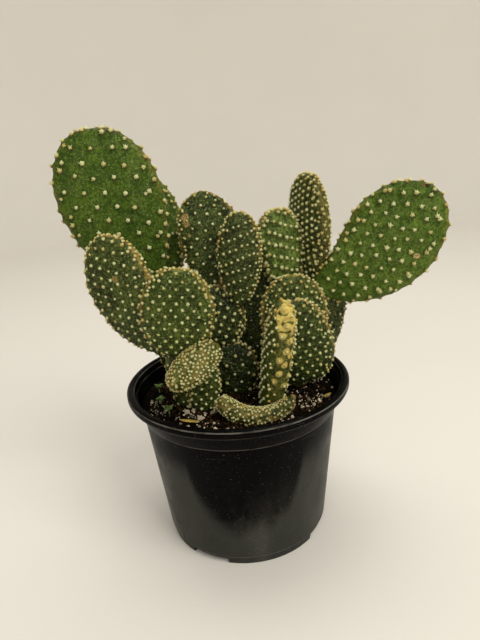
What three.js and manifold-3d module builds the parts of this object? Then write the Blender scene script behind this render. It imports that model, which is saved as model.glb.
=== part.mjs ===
// Potted paddle cactus: a bunny-ears prickly pear in a black nursery pot.
// Millimetres, +Z up. The origin is the centre of the pot's underside, where the pot rests.
// The viewer stands on the -Y side, so -Y is the front and +X is the right.

import * as THREE from 'three';
import { mergeVertices } from 'three/addons/utils/BufferGeometryUtils.js';
import Module from 'manifold-3d';

const wasm = await Module();
wasm.setup();

// ---------------------------------------------------------------- driving dimensions

const FIT_GAP = 0.3; // clearance between pieces that touch
const SHARPEST_CORNER = 0.3; // a corner sharper than this cosine moves out no further

// Pot: a thin moulded shell with a rolled rim, a curved collar and four feet.
const POT_RIM_RADIUS = 82.5;
const POT_HEIGHT = 120;
const POT_MOUTH_RADIUS = 77;
const POT_COLLAR_TOP_RADIUS = 78;
const POT_COLLAR_Z = 100;
const POT_COLLAR_STEP = 1.2; // the collar stands out from the wall by this much
const POT_COLLAR_STEP_RISE = 0.8;
const POT_COLLAR_BEND_RADIUS = 76; // the collar curves here, halfway up
const POT_COLLAR_BEND_Z = 107.5;
const POT_RIM_DEPTH = 7;
const POT_RIM_ROUND = 1.6;
const POT_SHOULDER_RADIUS = 72.2;
const POT_BASE_RADIUS = 61.1;
const POT_WALL = 1.6;
const POT_FLOOR_Z = 3;
const POT_FLOOR_THICKNESS = 2;
const POT_FOOT_HEIGHT = 5.5;
const POT_FOOT_WIDTH = 6.5;
const POT_FOOT_STEP = 0.6; // the wall stands out from the foot ring by this much
const POT_HEEL = 4; // the slope inside, where the wall meets the floor
const POT_CENTRE_FOOT_RADIUS = 14;
const POT_CENTRE_SLOPE = 6;
const POT_SIDES = 36;
const NOTCH_COUNT = 4;
const NOTCH_ANGLE = 27; // degrees of foot ring that each notch takes
const NOTCH_FIRST = 240.5; // degrees, middle of the first notch, from +X towards +Y
const NOTCH_HEIGHT = 3.6;
const NOTCH_OVERCUT = 2; // the notch is cut this far past the foot ring on each side
const DRAIN_COUNT = 6;
const DRAIN_RADIUS = 4.5;
const DRAIN_CIRCLE = 40;
const DRAIN_SIDES = 10;

// Soil: gritty mix, slightly mounded, with pale stones half sunk in its surface.
const SOIL_EDGE_Z = 105.5;
const SOIL_MOUND = 2;
const SOIL_ROUGHNESS = 1;
const SOIL_RINGS = 5;
const SOIL_EDGE_CALM = 0.3; // share of the roughness left at the pot's wall
const STONE_COUNT = 14;
const STONE_SPREAD = 66; // radius of the circle that the stones lie in
const STONE_RADIUS_MIN = 1.8;
const STONE_RADIUS_MAX = 3.4;
const STONE_NARROWEST = 0.75; // of its length
const STONE_FLATNESS = 0.7;
const STONE_RISE = 0.3; // share of its size that its middle stands above the soil
const SOIL_SEED = 11;

// Seedlings: small weeds at the front left, each a stem with a tuft of leaves.
const SEEDLING_STEM_RADIUS = 0.6;
const SEEDLING_DEPTH = 5; // how far the stem goes down into the soil
const SEEDLING_STEM_SIDES = 5;
const SEEDLING_LEAVES = 3;
const SEEDLING_LEAF_RISE = 20; // degrees that the lowest leaf stands up
const SEEDLING_LEAF_RISE_STEP = 12;
const SEEDLING_LEAF_REACH = 0.45; // of the leaf's length, from the stem to its middle
const SEEDLING_HEAD_DROP = 0.6; // the leaves spring from this far below the stem's top
const SEEDLING_LEAF = [5.6, 2.8, 0.9]; // length, width, thickness
const SEEDLINGS = [
  { name: 'seedling_back', place: [-61, 6], height: 7, turn: 20 },
  { name: 'seedling_middle', place: [-58, -12], height: 5, turn: 75 },
  { name: 'seedling_front', place: [-50, -30], height: 6, turn: 130 },
];

// Pads: flat stem segments whose outline narrows to the joint, with rows of areoles.
// base: the joint, sunk into the pad or soil below. lean: degrees to the right, tip:
// degrees towards the viewer, turn: degrees about the pad's own length. taper: how far
// the widest place lies towards the tip, and ends stands in for it and for the usual
// roundness of both ends on a stubby pad. bow and curl: degrees of bending along the
// length, in the pad's plane towards its right edge and out of it towards its front.
const SECTION_POWER = 2.4; // 2 is an ellipse, more is squarer
const EDGE_ALLOWANCE = 0.9; // added all round, since flat facets cut inside a curved edge
const TIP_POWER = 0.5;
const THICK_TAPER = 0.4;
const THICK_TIP = 0.42;
const AREOLE_RADIUS = 1.6; // a tuft of fine bristles, 3.2 mm across
const AREOLE_HEIGHT = 2.2;
const FIRST_ROW = 0.17; // in half turns from the joint to the tip
const FIRST_ROW_IN_SOIL = 0.29;
const LAST_ROW = 0.85;
const TIP_RING = 0.94;
const AREOLE_SPREAD = 0.4; // most of a column's half width that a tuft may take

const PADS = [
  { name: 'pad_left_root', base: [-34, -14, 99], length: 58, width: 27, thickness: 16,
    lean: -4, tip: 7, turn: -10, taper: 0.6, columns: 9, rows: 4, rooted: true, colour: 0x2f4227 },
  { name: 'pad_left_back_root', base: [-33, 22, 97], length: 96, width: 42, thickness: 16,
    lean: -10, tip: 0, turn: 6, taper: 0.6, columns: 9, rows: 5, rooted: true, colour: 0x2c3f26 },
  { name: 'pad_front_stub', base: [-27, -19, 98], length: 50, width: 22, thickness: 15,
    lean: 6, tip: 12, turn: 15, taper: 0.5, columns: 8, rows: 4, rooted: true, colour: 0x39502c },
  { name: 'pad_centre_root', base: [-3, 2, 98], length: 48, width: 35, thickness: 15,
    lean: 2, tip: 2, turn: 0, taper: 0.6, columns: 9, rows: 4, rooted: true, colour: 0x28361f },
  { name: 'pad_centre_back_root', base: [20, 28, 97], length: 110, width: 48, thickness: 16,
    lean: 4, tip: 0, turn: 0, taper: 0.6, columns: 9, rows: 5, rooted: true, colour: 0x242f1d },
  { name: 'pad_right_root', base: [45, 25, 97], length: 93, width: 46, thickness: 16,
    lean: 19, tip: 4, turn: 15, taper: 0.7, columns: 9, rows: 5, rooted: true, colour: 0x2c3c28 },
  { name: 'pad_right_middle', base: [46.3, 4, 98], length: 96, width: 48, thickness: 13,
    lean: -1.6, tip: 3, turn: 0, taper: 1, columns: 10, rows: 6, rooted: true, colour: 0x35492a },
  { name: 'pad_right_front', base: [48.1, -6.5, 113.9], length: 69, width: 50.4, thickness: 14,
    lean: -6.2, tip: 12, turn: 0, ends: [0.3, 0.45], columns: 10, rows: 6, colour: 0x2f4227 },
  { name: 'pad_variegated', base: [19.8, -26, 98], length: 89.7, width: 28, thickness: 16.7,
    lean: 9.3, tip: 9, turn: -82, ends: [0.35, 0.25], columns: 9, rows: 6, rooted: true, colour: 0x6f7a2c },
  { name: 'pad_front_crescent', base: [37.3, -44, 121.9], length: 60.2, width: 11.4, thickness: 11,
    lean: -145, tip: 12, turn: 0, ends: [0.4, 0.2], bow: 113, curl: -20, columns: 6, rows: 6,
    colour: 0x5c6b36 },
  { name: 'pad_centre_middle', base: [-7, 2, 141], length: 49, width: 42, thickness: 14,
    lean: -13, tip: 0, turn: 0, taper: 0.6, columns: 9, rows: 5, colour: 0x2b3a22 },
  { name: 'pad_front_corky', base: [-11, -31, 157], length: 43, width: 22, thickness: 15,
    lean: -120, tip: 26, turn: 0, taper: 0.5, columns: 8, rows: 5, colour: 0x68683a },
  { name: 'pad_left_round', base: [-40, -28, 151], length: 64.3, width: 48.2, thickness: 13,
    lean: 7.3, tip: 12, turn: 0, taper: 0.5, columns: 11, rows: 5, colour: 0x3d5a2c },
  { name: 'pad_left_low', base: [-44, -18, 150], length: 94, width: 49, thickness: 14,
    lean: -46, tip: 8, turn: -28, taper: 0.7, bow: 50, curl: -25, columns: 11, rows: 6,
    colour: 0x35502b },
  { name: 'pad_left_tall', base: [-55.3, 18, 183], length: 122, width: 72, thickness: 14,
    lean: -24, tip: 5, turn: -4, taper: 0.82, bow: 21, columns: 13, rows: 7,
    colour: 0x3f6a28 },
  { name: 'pad_left_behind', base: [-49, 29, 182], length: 90, width: 53, thickness: 12,
    lean: -11, tip: -4, turn: 10, taper: 0.65, columns: 9, rows: 5, colour: 0x3a5a2b },
  { name: 'pad_centre_tall', base: [-8, 6, 182.3], length: 73.4, width: 46, thickness: 12,
    lean: 9, tip: -5, turn: 0, taper: 0.5, bow: -43, columns: 10, rows: 6,
    colour: 0x33482b },
  { name: 'pad_centre_narrow', base: [5.5, -2, 174.7], length: 66.5, width: 29.3, thickness: 12,
    lean: 3.7, tip: 4, turn: -8, taper: 0.65, columns: 9, rows: 6, colour: 0x36502e },
  { name: 'pad_centre_right', base: [43.2, 21, 164.9], length: 74, width: 33, thickness: 13,
    lean: -5.4, tip: 4, turn: 12, taper: 1, columns: 9, rows: 6, colour: 0x3d6232 },
  { name: 'pad_right_upright', base: [61.7, 22, 178], length: 83.5, width: 43, thickness: 15.5,
    lean: -1, tip: 0, turn: -66, taper: 0.7, columns: 9, rows: 6, colour: 0x3c4f2f },
  { name: 'pad_right_large', base: [58, 14, 181], length: 111, width: 62, thickness: 13,
    lean: 84, tip: 22, turn: 0, taper: 0.88, bow: -79, columns: 12, rows: 7,
    colour: 0x44702d },
];

// ---------------------------------------------------------------- solids

/** Joins a geometry's shared corners and hands it over as a solid for cutting. */
function toSolid(geometry) {
  geometry.deleteAttribute('normal');
  geometry.deleteAttribute('uv');
  const merged = mergeVertices(geometry, 1e-4);
  return new wasm.Manifold(new wasm.Mesh({
    numProp: 3,
    vertProperties: merged.attributes.position.array,
    triVerts: merged.index.array,
  }));
}

/** Turns a solid back into a geometry, leaving out any loose scrap. */
function toGeometry(solid) {
  const pieces = solid.decompose().sort((a, b) => b.volume() - a.volume());
  const mesh = pieces[0].getMesh();
  const geometry = new THREE.BufferGeometry();
  geometry.setAttribute('position', new THREE.BufferAttribute(mesh.vertProperties, 3));
  geometry.setIndex(new THREE.BufferAttribute(mesh.triVerts, 1));
  geometry.computeVertexNormals();
  return geometry;
}

/**
 * The same closed shape with every face moved outwards by at least the gap. It cuts the room
 * that a neighbour leaves. Each corner moves along its mean normal, further where it is sharp.
 */
function grownSolid(geometry, gap) {
  const { index, attributes: { position } } = geometry;
  const corner = (i) => new THREE.Vector3().fromBufferAttribute(position, index.getX(i));
  const faceNormals = Array.from({ length: position.count }, () => []);
  for (let i = 0; i < index.count; i += 3) {
    const [a, b, c] = [corner(i), corner(i + 1), corner(i + 2)];
    const normal = b.sub(a).cross(c.sub(a)).normalize();
    for (let k = 0; k < 3; k += 1) faceNormals[index.getX(i + k)].push(normal);
  }
  const grown = faceNormals.map((normals, i) => {
    const mean = normals.reduce((sum, normal) => sum.add(normal), new THREE.Vector3()).normalize();
    const slackest = Math.min(...normals.map((normal) => normal.dot(mean)));
    const move = gap / Math.max(slackest, SHARPEST_CORNER);
    return new THREE.Vector3().fromBufferAttribute(position, i).addScaledVector(mean, move);
  });
  return toSolid(new THREE.BufferGeometry().setFromPoints(grown).setIndex(index.clone()));
}

/** A named mesh with its own material. */
function makeMesh(name, geometry, colour, roughness) {
  const material = new THREE.MeshStandardMaterial({ color: colour, roughness, metalness: 0 });
  const mesh = new THREE.Mesh(geometry, material);
  mesh.name = name;
  return mesh;
}

/** A small repeatable random source between 0 and 1. */
function randomSource(seed) {
  let state = seed;
  return () => {
    state = (state * 16807) % 2147483647;
    return state / 2147483647;
  };
}

/** A point on a level circle about the Z axis. */
function onCircle(radius, angle, z) {
  return new THREE.Vector3(radius * Math.cos(angle), radius * Math.sin(angle), z);
}

// ---------------------------------------------------------------- pads

/** Rises from 0 at the joint to 1 at the widest place and falls to 0 at the tip. */
function outlineShare(t, start, end) {
  const peak = start / (start + end);
  return (t ** start * (1 - t) ** end) / (peak ** start * (1 - peak) ** end);
}

/** A pad's cross-section at t: a superellipse walked at an even pace round its edge. */
function padSection(pad, t) {
  const widthShare = outlineShare(t, ...(pad.ends ?? [pad.taper, TIP_POWER]));
  const thicknessShare = outlineShare(t, ...(pad.ends ?? [THICK_TAPER, THICK_TIP]));
  const halfWidth = (pad.width / 2 + EDGE_ALLOWANCE) * widthShare;
  const halfThickness = (pad.thickness / 2) * thicknessShare;
  const steps = 96;
  const points = [];
  const lengths = [0];
  for (let i = 0; i <= steps; i += 1) {
    const angle = (i / steps) * 2 * Math.PI;
    const c = Math.cos(angle);
    const s = Math.sin(angle);
    points.push([
      halfWidth * Math.sign(c) * Math.abs(c) ** (2 / SECTION_POWER),
      halfThickness * Math.sign(s) * Math.abs(s) ** (2 / SECTION_POWER),
    ]);
    if (i > 0) {
      const [x0, y0] = points[i - 1];
      lengths.push(lengths[i - 1] + Math.hypot(points[i][0] - x0, points[i][1] - y0));
    }
  }
  const perimeter = lengths[steps];
  const at = (share) => {
    const wanted = (((share % 1) + 1) % 1) * perimeter;
    let i = 1;
    while (lengths[i] < wanted) i += 1;
    const mix = (wanted - lengths[i - 1]) / (lengths[i] - lengths[i - 1]);
    return points[i - 1].map((value, axis) => value + mix * (points[i][axis] - value));
  };
  return { perimeter, at };
}

/** The matrix that carries a pad from upright at the origin to its place on the plant. */
function padMatrix(pad) {
  const turn = new THREE.Matrix4().makeRotationZ(THREE.MathUtils.degToRad(pad.turn));
  const tip = new THREE.Matrix4().makeRotationX(THREE.MathUtils.degToRad(pad.tip));
  const lean = new THREE.Matrix4().makeRotationY(THREE.MathUtils.degToRad(pad.lean));
  return new THREE.Matrix4().makeTranslation(...pad.base).multiply(lean).multiply(tip).multiply(turn);
}

/** Bends an upright pad's point along a circular arc, by bow in its plane and curl out of it. */
function bendPoint(pad, x, y, z) {
  const bow = THREE.MathUtils.degToRad(pad.bow ?? 0);
  const curl = THREE.MathUtils.degToRad(pad.curl ?? 0);
  const bend = Math.hypot(bow, curl);
  if (bend === 0) return new THREE.Vector3(x, y, z);
  const along = [bow / bend, -curl / bend];
  const radius = pad.length / bend;
  const angle = z / radius;
  const outward = x * along[0] + y * along[1];
  const sideways = y * along[0] - x * along[1];
  const shifted = outward * Math.cos(angle) + radius * (1 - Math.cos(angle));
  return new THREE.Vector3(
    shifted * along[0] - sideways * along[1],
    shifted * along[1] + sideways * along[0],
    radius * Math.sin(angle) - outward * Math.sin(angle),
  );
}

/**
 * The pad's skin with its areoles raised from it. The areoles stand in staggered rows, each a
 * four-sided tuft, and the skin between them is stretched from tuft to tuft.
 */
function padGeometry(pad) {
  const { columns, rows } = pad;
  const matrix = padMatrix(pad);
  const vertices = [];
  const faces = [];
  const put = (point) => vertices.push(point) - 1;
  const lengthShare = (turnShare) => (1 - Math.cos(turnShare * Math.PI)) / 2;
  const sectionAt = (turnShare) => padSection(pad, lengthShare(turnShare));
  const skinPoint = (turnShare, section, share) => {
    const [x, y] = section.at(share);
    return bendPoint(pad, x, y, lengthShare(turnShare) * pad.length).applyMatrix4(matrix);
  };
  const firstRow = pad.rooted ? FIRST_ROW_IN_SOIL : FIRST_ROW;
  const rowStep = (LAST_ROW - firstRow) / (rows - 1);
  const riseShare = AREOLE_RADIUS / ((pad.length / 2) * Math.PI);
  const grid = [];
  for (let row = 0; row < rows; row += 1) {
    const turnShare = firstRow + row * rowStep;
    const middle = sectionAt(turnShare);
    const below = sectionAt(turnShare - riseShare);
    const above = sectionAt(turnShare + riseShare);
    const sideShare = Math.min(AREOLE_RADIUS / middle.perimeter, AREOLE_SPREAD / columns);
    grid.push([]);
    for (let column = 0; column < columns; column += 1) {
      const share = (column + (row % 2) / 2) / columns;
      const left = skinPoint(turnShare, middle, share - sideShare);
      const right = skinPoint(turnShare, middle, share + sideShare);
      const low = skinPoint(turnShare - riseShare, below, share);
      const high = skinPoint(turnShare + riseShare, above, share);
      const outwards = right.clone().sub(left).cross(high.clone().sub(low)).normalize();
      const peak = skinPoint(turnShare, middle, share).addScaledVector(outwards, AREOLE_HEIGHT);
      grid[row].push({ left: put(left), right: put(right), low: put(low), high: put(high), peak: put(peak) });
    }
  }
  grid.flat().forEach(({ left, right, low, high, peak }) => {
    faces.push([low, right, peak], [right, high, peak], [high, left, peak], [left, low, peak]);
  });
  for (let row = 0; row + 1 < rows; row += 1) {
    for (let column = 0; column < columns; column += 1) {
      const here = grid[row][column];
      const next = grid[row][(column + 1) % columns];
      const rightUp = grid[row + 1][(column + (row % 2)) % columns];
      const leftUp = grid[row + 1][(column + (row % 2) + columns - 1) % columns];
      faces.push(
        [here.high, rightUp.left, leftUp.right],
        [here.high, here.right, rightUp.low],
        [here.high, rightUp.low, rightUp.left],
        [here.right, next.left, rightUp.low],
        [next.left, next.high, rightUp.right],
        [next.left, rightUp.right, rightUp.low],
      );
    }
  }
  const joint = put(bendPoint(pad, 0, 0, 0).applyMatrix4(matrix));
  const end = put(bendPoint(pad, 0, 0, pad.length).applyMatrix4(matrix));
  const tipSection = sectionAt(TIP_RING);
  const tipStagger = ((rows - 1) % 2) / 2;
  const tipRing = grid[rows - 1].map((_, column) => (
    put(skinPoint(TIP_RING, tipSection, (column + tipStagger) / columns))
  ));
  for (let column = 0; column < columns; column += 1) {
    const nextColumn = (column + 1) % columns;
    const first = grid[0][column];
    const firstNext = grid[0][nextColumn];
    const last = grid[rows - 1][column];
    const lastNext = grid[rows - 1][nextColumn];
    faces.push(
      [joint, first.low, first.left],
      [joint, first.right, first.low],
      [joint, firstNext.left, first.right],
      [last.left, last.high, tipRing[column]],
      [last.high, last.right, tipRing[column]],
      [last.right, lastNext.left, tipRing[column]],
      [lastNext.left, tipRing[nextColumn], tipRing[column]],
      [tipRing[column], tipRing[nextColumn], end],
    );
  }
  return new THREE.BufferGeometry().setFromPoints(vertices).setIndex(faces.flat());
}

// ---------------------------------------------------------------- pot

/** The radius of the pot's outer wall at a height between its base and its collar. */
function potWallRadius(z) {
  return POT_BASE_RADIUS + (POT_SHOULDER_RADIUS - POT_BASE_RADIUS) * (z / POT_COLLAR_Z);
}

/** The inside of the pot from the collar down to the floor's edge, as radius and height. */
function potInside() {
  const floorTop = POT_FLOOR_Z + POT_FLOOR_THICKNESS;
  return [
    [POT_COLLAR_BEND_RADIUS - POT_WALL, POT_COLLAR_BEND_Z],
    [POT_SHOULDER_RADIUS + POT_COLLAR_STEP - POT_WALL, POT_COLLAR_Z],
    [potWallRadius(floorTop + POT_HEEL) - POT_WALL, floorTop + POT_HEEL],
    [potWallRadius(floorTop) - POT_WALL - POT_HEEL, floorTop],
  ];
}

/** The shell: underside, feet, wall, collar and rolled rim outside, then back down inside. */
function potProfile() {
  const footInner = POT_BASE_RADIUS - POT_FOOT_WIDTH;
  const slopeEnd = POT_CENTRE_FOOT_RADIUS + POT_CENTRE_SLOPE;
  const footTop = potWallRadius(POT_FOOT_HEIGHT);
  const rimBottom = POT_HEIGHT - POT_RIM_DEPTH;
  return [
    [0, 0],
    [POT_CENTRE_FOOT_RADIUS, 0],
    [slopeEnd, POT_FLOOR_Z],
    [footInner - POT_FOOT_STEP, POT_FLOOR_Z],
    [footInner, 0],
    [POT_BASE_RADIUS, 0],
    [footTop, POT_FOOT_HEIGHT],
    [footTop + POT_FOOT_STEP, POT_FOOT_HEIGHT + POT_FOOT_STEP],
    [POT_SHOULDER_RADIUS, POT_COLLAR_Z],
    [POT_SHOULDER_RADIUS + POT_COLLAR_STEP, POT_COLLAR_Z + POT_COLLAR_STEP_RISE],
    [POT_COLLAR_BEND_RADIUS, POT_COLLAR_BEND_Z],
    [POT_COLLAR_TOP_RADIUS, rimBottom],
    [POT_RIM_RADIUS - POT_RIM_ROUND / 2, rimBottom + POT_RIM_ROUND / 2],
    [POT_RIM_RADIUS, rimBottom + POT_RIM_ROUND * 1.5],
    [POT_RIM_RADIUS, POT_HEIGHT - POT_RIM_ROUND],
    [POT_RIM_RADIUS - POT_RIM_ROUND, POT_HEIGHT],
    [POT_MOUTH_RADIUS + POT_RIM_ROUND, POT_HEIGHT],
    [POT_MOUTH_RADIUS, POT_HEIGHT - POT_RIM_ROUND],
    ...potInside(),
    [slopeEnd, POT_FLOOR_Z + POT_FLOOR_THICKNESS],
    [POT_CENTRE_FOOT_RADIUS, POT_FLOOR_THICKNESS],
    [0, POT_FLOOR_THICKNESS],
  ];
}

/** The pot, with the foot ring notched and drain holes through the floor. */
function makePot() {
  const points = potProfile().map(([radius, z]) => new THREE.Vector2(radius, z));
  let pot = toSolid(new THREE.LatheGeometry(points, POT_SIDES).rotateX(Math.PI / 2));
  const notchDepth = POT_FOOT_WIDTH + 2 * NOTCH_OVERCUT;
  const notchWidth = 2 * POT_BASE_RADIUS * Math.sin(THREE.MathUtils.degToRad(NOTCH_ANGLE / 2));
  for (let i = 0; i < NOTCH_COUNT; i += 1) {
    const notch = new THREE.BoxGeometry(notchDepth, notchWidth, 2 * NOTCH_HEIGHT);
    notch.translate(POT_BASE_RADIUS - POT_FOOT_WIDTH / 2, 0, 0);
    notch.rotateZ(THREE.MathUtils.degToRad(NOTCH_FIRST + (i * 360) / NOTCH_COUNT));
    pot = pot.subtract(toSolid(notch));
  }
  const drainLength = 3 * (POT_FLOOR_Z + POT_FLOOR_THICKNESS); // right through the floor
  for (let i = 0; i < DRAIN_COUNT; i += 1) {
    const drain = new THREE.CylinderGeometry(DRAIN_RADIUS, DRAIN_RADIUS, drainLength, DRAIN_SIDES);
    const place = onCircle(DRAIN_CIRCLE, ((i + 0.5) / DRAIN_COUNT) * 2 * Math.PI, 0);
    drain.rotateX(Math.PI / 2).translate(place.x, place.y, 0);
    pot = pot.subtract(toSolid(drain));
  }
  return makeMesh('pot', toGeometry(pot), 0x17181a, 0.45);
}

// ---------------------------------------------------------------- soil

/** The height of the soil's mound at a distance from the pot's axis, without its roughness. */
function soilHeight(distance) {
  return SOIL_EDGE_Z + SOIL_MOUND * (1 - (distance / POT_SHOULDER_RADIUS) ** 2);
}

/** The soil fills the pot; its top is mounded and rough, its sides follow the pot's inside. */
function soilGeometry(random) {
  const [collar, shoulder, heel, floorEdge] = potInside();
  const edgeShare = (SOIL_EDGE_Z - SOIL_ROUGHNESS - shoulder[1]) / (collar[1] - shoulder[1]);
  const edgeRadius = shoulder[0] + edgeShare * (collar[0] - shoulder[0]) - FIT_GAP;
  const slopeEnd = POT_CENTRE_FOOT_RADIUS + POT_CENTRE_SLOPE;
  const profile = [];
  for (let ring = 1; ring <= SOIL_RINGS; ring += 1) {
    const radius = edgeRadius * (ring / SOIL_RINGS);
    const rough = ring === SOIL_RINGS ? SOIL_EDGE_CALM * SOIL_ROUGHNESS : SOIL_ROUGHNESS;
    profile.push({ radius, z: soilHeight(radius), rough });
  }
  profile.push({ radius: shoulder[0] - FIT_GAP, z: shoulder[1], rough: 0 });
  profile.push({ radius: heel[0] - FIT_GAP, z: heel[1] + FIT_GAP, rough: 0 });
  profile.push({ radius: floorEdge[0] - FIT_GAP, z: floorEdge[1] + FIT_GAP, rough: 0 });
  profile.push({ radius: slopeEnd - FIT_GAP, z: floorEdge[1] + FIT_GAP, rough: 0 });
  profile.push({ radius: POT_CENTRE_FOOT_RADIUS - FIT_GAP, z: POT_FLOOR_THICKNESS + FIT_GAP, rough: 0 });
  const vertices = [new THREE.Vector3(0, 0, soilHeight(0))];
  profile.forEach(({ radius, z, rough }) => {
    for (let side = 0; side < POT_SIDES; side += 1) {
      vertices.push(onCircle(radius, (side / POT_SIDES) * 2 * Math.PI, z + rough * (2 * random() - 1)));
    }
  });
  const bottom = vertices.push(new THREE.Vector3(0, 0, POT_FLOOR_THICKNESS + FIT_GAP)) - 1;
  const faces = [];
  const lastRing = 1 + (profile.length - 1) * POT_SIDES;
  for (let side = 0; side < POT_SIDES; side += 1) {
    const next = (side + 1) % POT_SIDES;
    faces.push([0, 1 + side, 1 + next]);
    for (let inner = 1; inner < lastRing; inner += POT_SIDES) {
      const outer = inner + POT_SIDES;
      faces.push([inner + side, outer + side, outer + next], [inner + side, outer + next, inner + next]);
    }
    faces.push([lastRing + side, bottom, lastRing + next]);
  }
  return new THREE.BufferGeometry().setFromPoints(vertices).setIndex(faces.flat());
}

/** The soil with its stones fused in and a hole for all that stands or lies in it. */
function makeSoil(holes) {
  const random = randomSource(SOIL_SEED);
  let soil = toSolid(soilGeometry(random));
  for (let i = 0; i < STONE_COUNT; i += 1) {
    const size = STONE_RADIUS_MIN + (STONE_RADIUS_MAX - STONE_RADIUS_MIN) * random();
    const stone = new THREE.OctahedronGeometry(size);
    const narrowness = STONE_NARROWEST + (1 - STONE_NARROWEST) * random();
    stone.scale(1, narrowness, STONE_FLATNESS).rotateZ(random() * Math.PI);
    const distance = STONE_SPREAD * Math.sqrt(random());
    const place = onCircle(distance, random() * 2 * Math.PI, soilHeight(distance) + STONE_RISE * size);
    soil = soil.add(toSolid(stone.translate(place.x, place.y, place.z)));
  }
  holes.forEach((hole) => {
    soil = soil.subtract(hole);
  });
  return makeMesh('soil', toGeometry(soil), 0x2a2019, 0.95);
}

// ---------------------------------------------------------------- seedlings

/** One seedling: an upright stem with a ring of leaves at its head. */
function seedlingGeometry({ place, height, turn }) {
  const [x, y] = place;
  const stem = new THREE.CylinderGeometry(
    SEEDLING_STEM_RADIUS,
    SEEDLING_STEM_RADIUS,
    height + SEEDLING_DEPTH,
    SEEDLING_STEM_SIDES,
  );
  stem.rotateX(Math.PI / 2).translate(0, 0, (height - SEEDLING_DEPTH) / 2);
  let seedling = toSolid(stem);
  const [leafLength, leafWidth, leafThickness] = SEEDLING_LEAF;
  for (let leaf = 0; leaf < SEEDLING_LEAVES; leaf += 1) {
    const blade = new THREE.OctahedronGeometry(1);
    const rise = SEEDLING_LEAF_RISE + SEEDLING_LEAF_RISE_STEP * leaf;
    blade.scale(leafLength / 2, leafWidth / 2, leafThickness / 2);
    blade.translate(leafLength * SEEDLING_LEAF_REACH, 0, 0);
    blade.rotateY(THREE.MathUtils.degToRad(-rise)).rotateZ((leaf / SEEDLING_LEAVES) * 2 * Math.PI);
    seedling = seedling.add(toSolid(blade.translate(0, 0, height - SEEDLING_HEAD_DROP)));
  }
  const ground = soilHeight(Math.hypot(x, y));
  return toGeometry(seedling).rotateZ(THREE.MathUtils.degToRad(turn)).translate(x, y, ground);
}

// ---------------------------------------------------------------- assembly

const plant = new THREE.Group();
const holes = [];
PADS.forEach((pad) => {
  const whole = padGeometry(pad);
  let solid = toSolid(whole);
  holes.forEach((earlier) => {
    solid = solid.subtract(earlier);
  });
  plant.add(makeMesh(pad.name, toGeometry(solid), pad.colour, 0.6));
  holes.push(grownSolid(whole, FIT_GAP));
});

const weeds = new THREE.Group();
SEEDLINGS.forEach((seedling) => {
  const weed = seedlingGeometry(seedling);
  weeds.add(makeMesh(seedling.name, weed, 0x5f8f2e, 0.6));
  holes.push(grownSolid(weed, FIT_GAP));
});

const cactus = new THREE.Group();
cactus.add(makePot(), makeSoil(holes), plant, weeds);

export default cactus;
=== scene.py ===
"""Potted paddle cactus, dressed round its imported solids.

Sizes in the tables are millimetres and finished meshes are metres, +Z up, with the origin under
the middle of the pot and the viewer on the -Y side.
"""

import itertools
import math

import bpy
import numpy as np
from mathutils import Matrix, Vector


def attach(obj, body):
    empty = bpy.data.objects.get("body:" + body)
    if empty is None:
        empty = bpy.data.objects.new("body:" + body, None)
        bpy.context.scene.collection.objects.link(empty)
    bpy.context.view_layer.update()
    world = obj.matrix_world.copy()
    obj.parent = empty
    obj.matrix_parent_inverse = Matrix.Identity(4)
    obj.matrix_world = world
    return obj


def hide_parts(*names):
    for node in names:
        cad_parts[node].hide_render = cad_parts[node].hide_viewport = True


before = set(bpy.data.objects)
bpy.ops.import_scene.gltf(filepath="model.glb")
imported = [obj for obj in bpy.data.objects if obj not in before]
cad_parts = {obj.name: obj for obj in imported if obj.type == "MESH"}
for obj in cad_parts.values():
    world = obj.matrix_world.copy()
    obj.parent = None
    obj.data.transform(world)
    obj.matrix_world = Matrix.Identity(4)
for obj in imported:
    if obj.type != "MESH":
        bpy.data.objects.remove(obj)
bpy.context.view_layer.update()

bl_info = {
    "name": "Potted Paddle Cactus",
    "version": (1, 0, 0),
    "blender": (4, 5, 0),
    "location": "View3D > Sidebar > Cactus",
    "description": "Builds a prickly pear in a nursery pot, piece by piece",
    "category": "Add Mesh",
}

MM = 0.001
TWO_PI = 2 * math.pi

# ---------------------------------------------------------------- the plant's pads

SECTION_POWER = 2.4  # 2 is an ellipse, more is squarer
TIP_POWER = 0.5  # how the width closes at the tip, where a pad doesn't say
THICK_POWERS = (0.4, 0.42)  # how the thickness opens from the joint and closes at the tip

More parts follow.
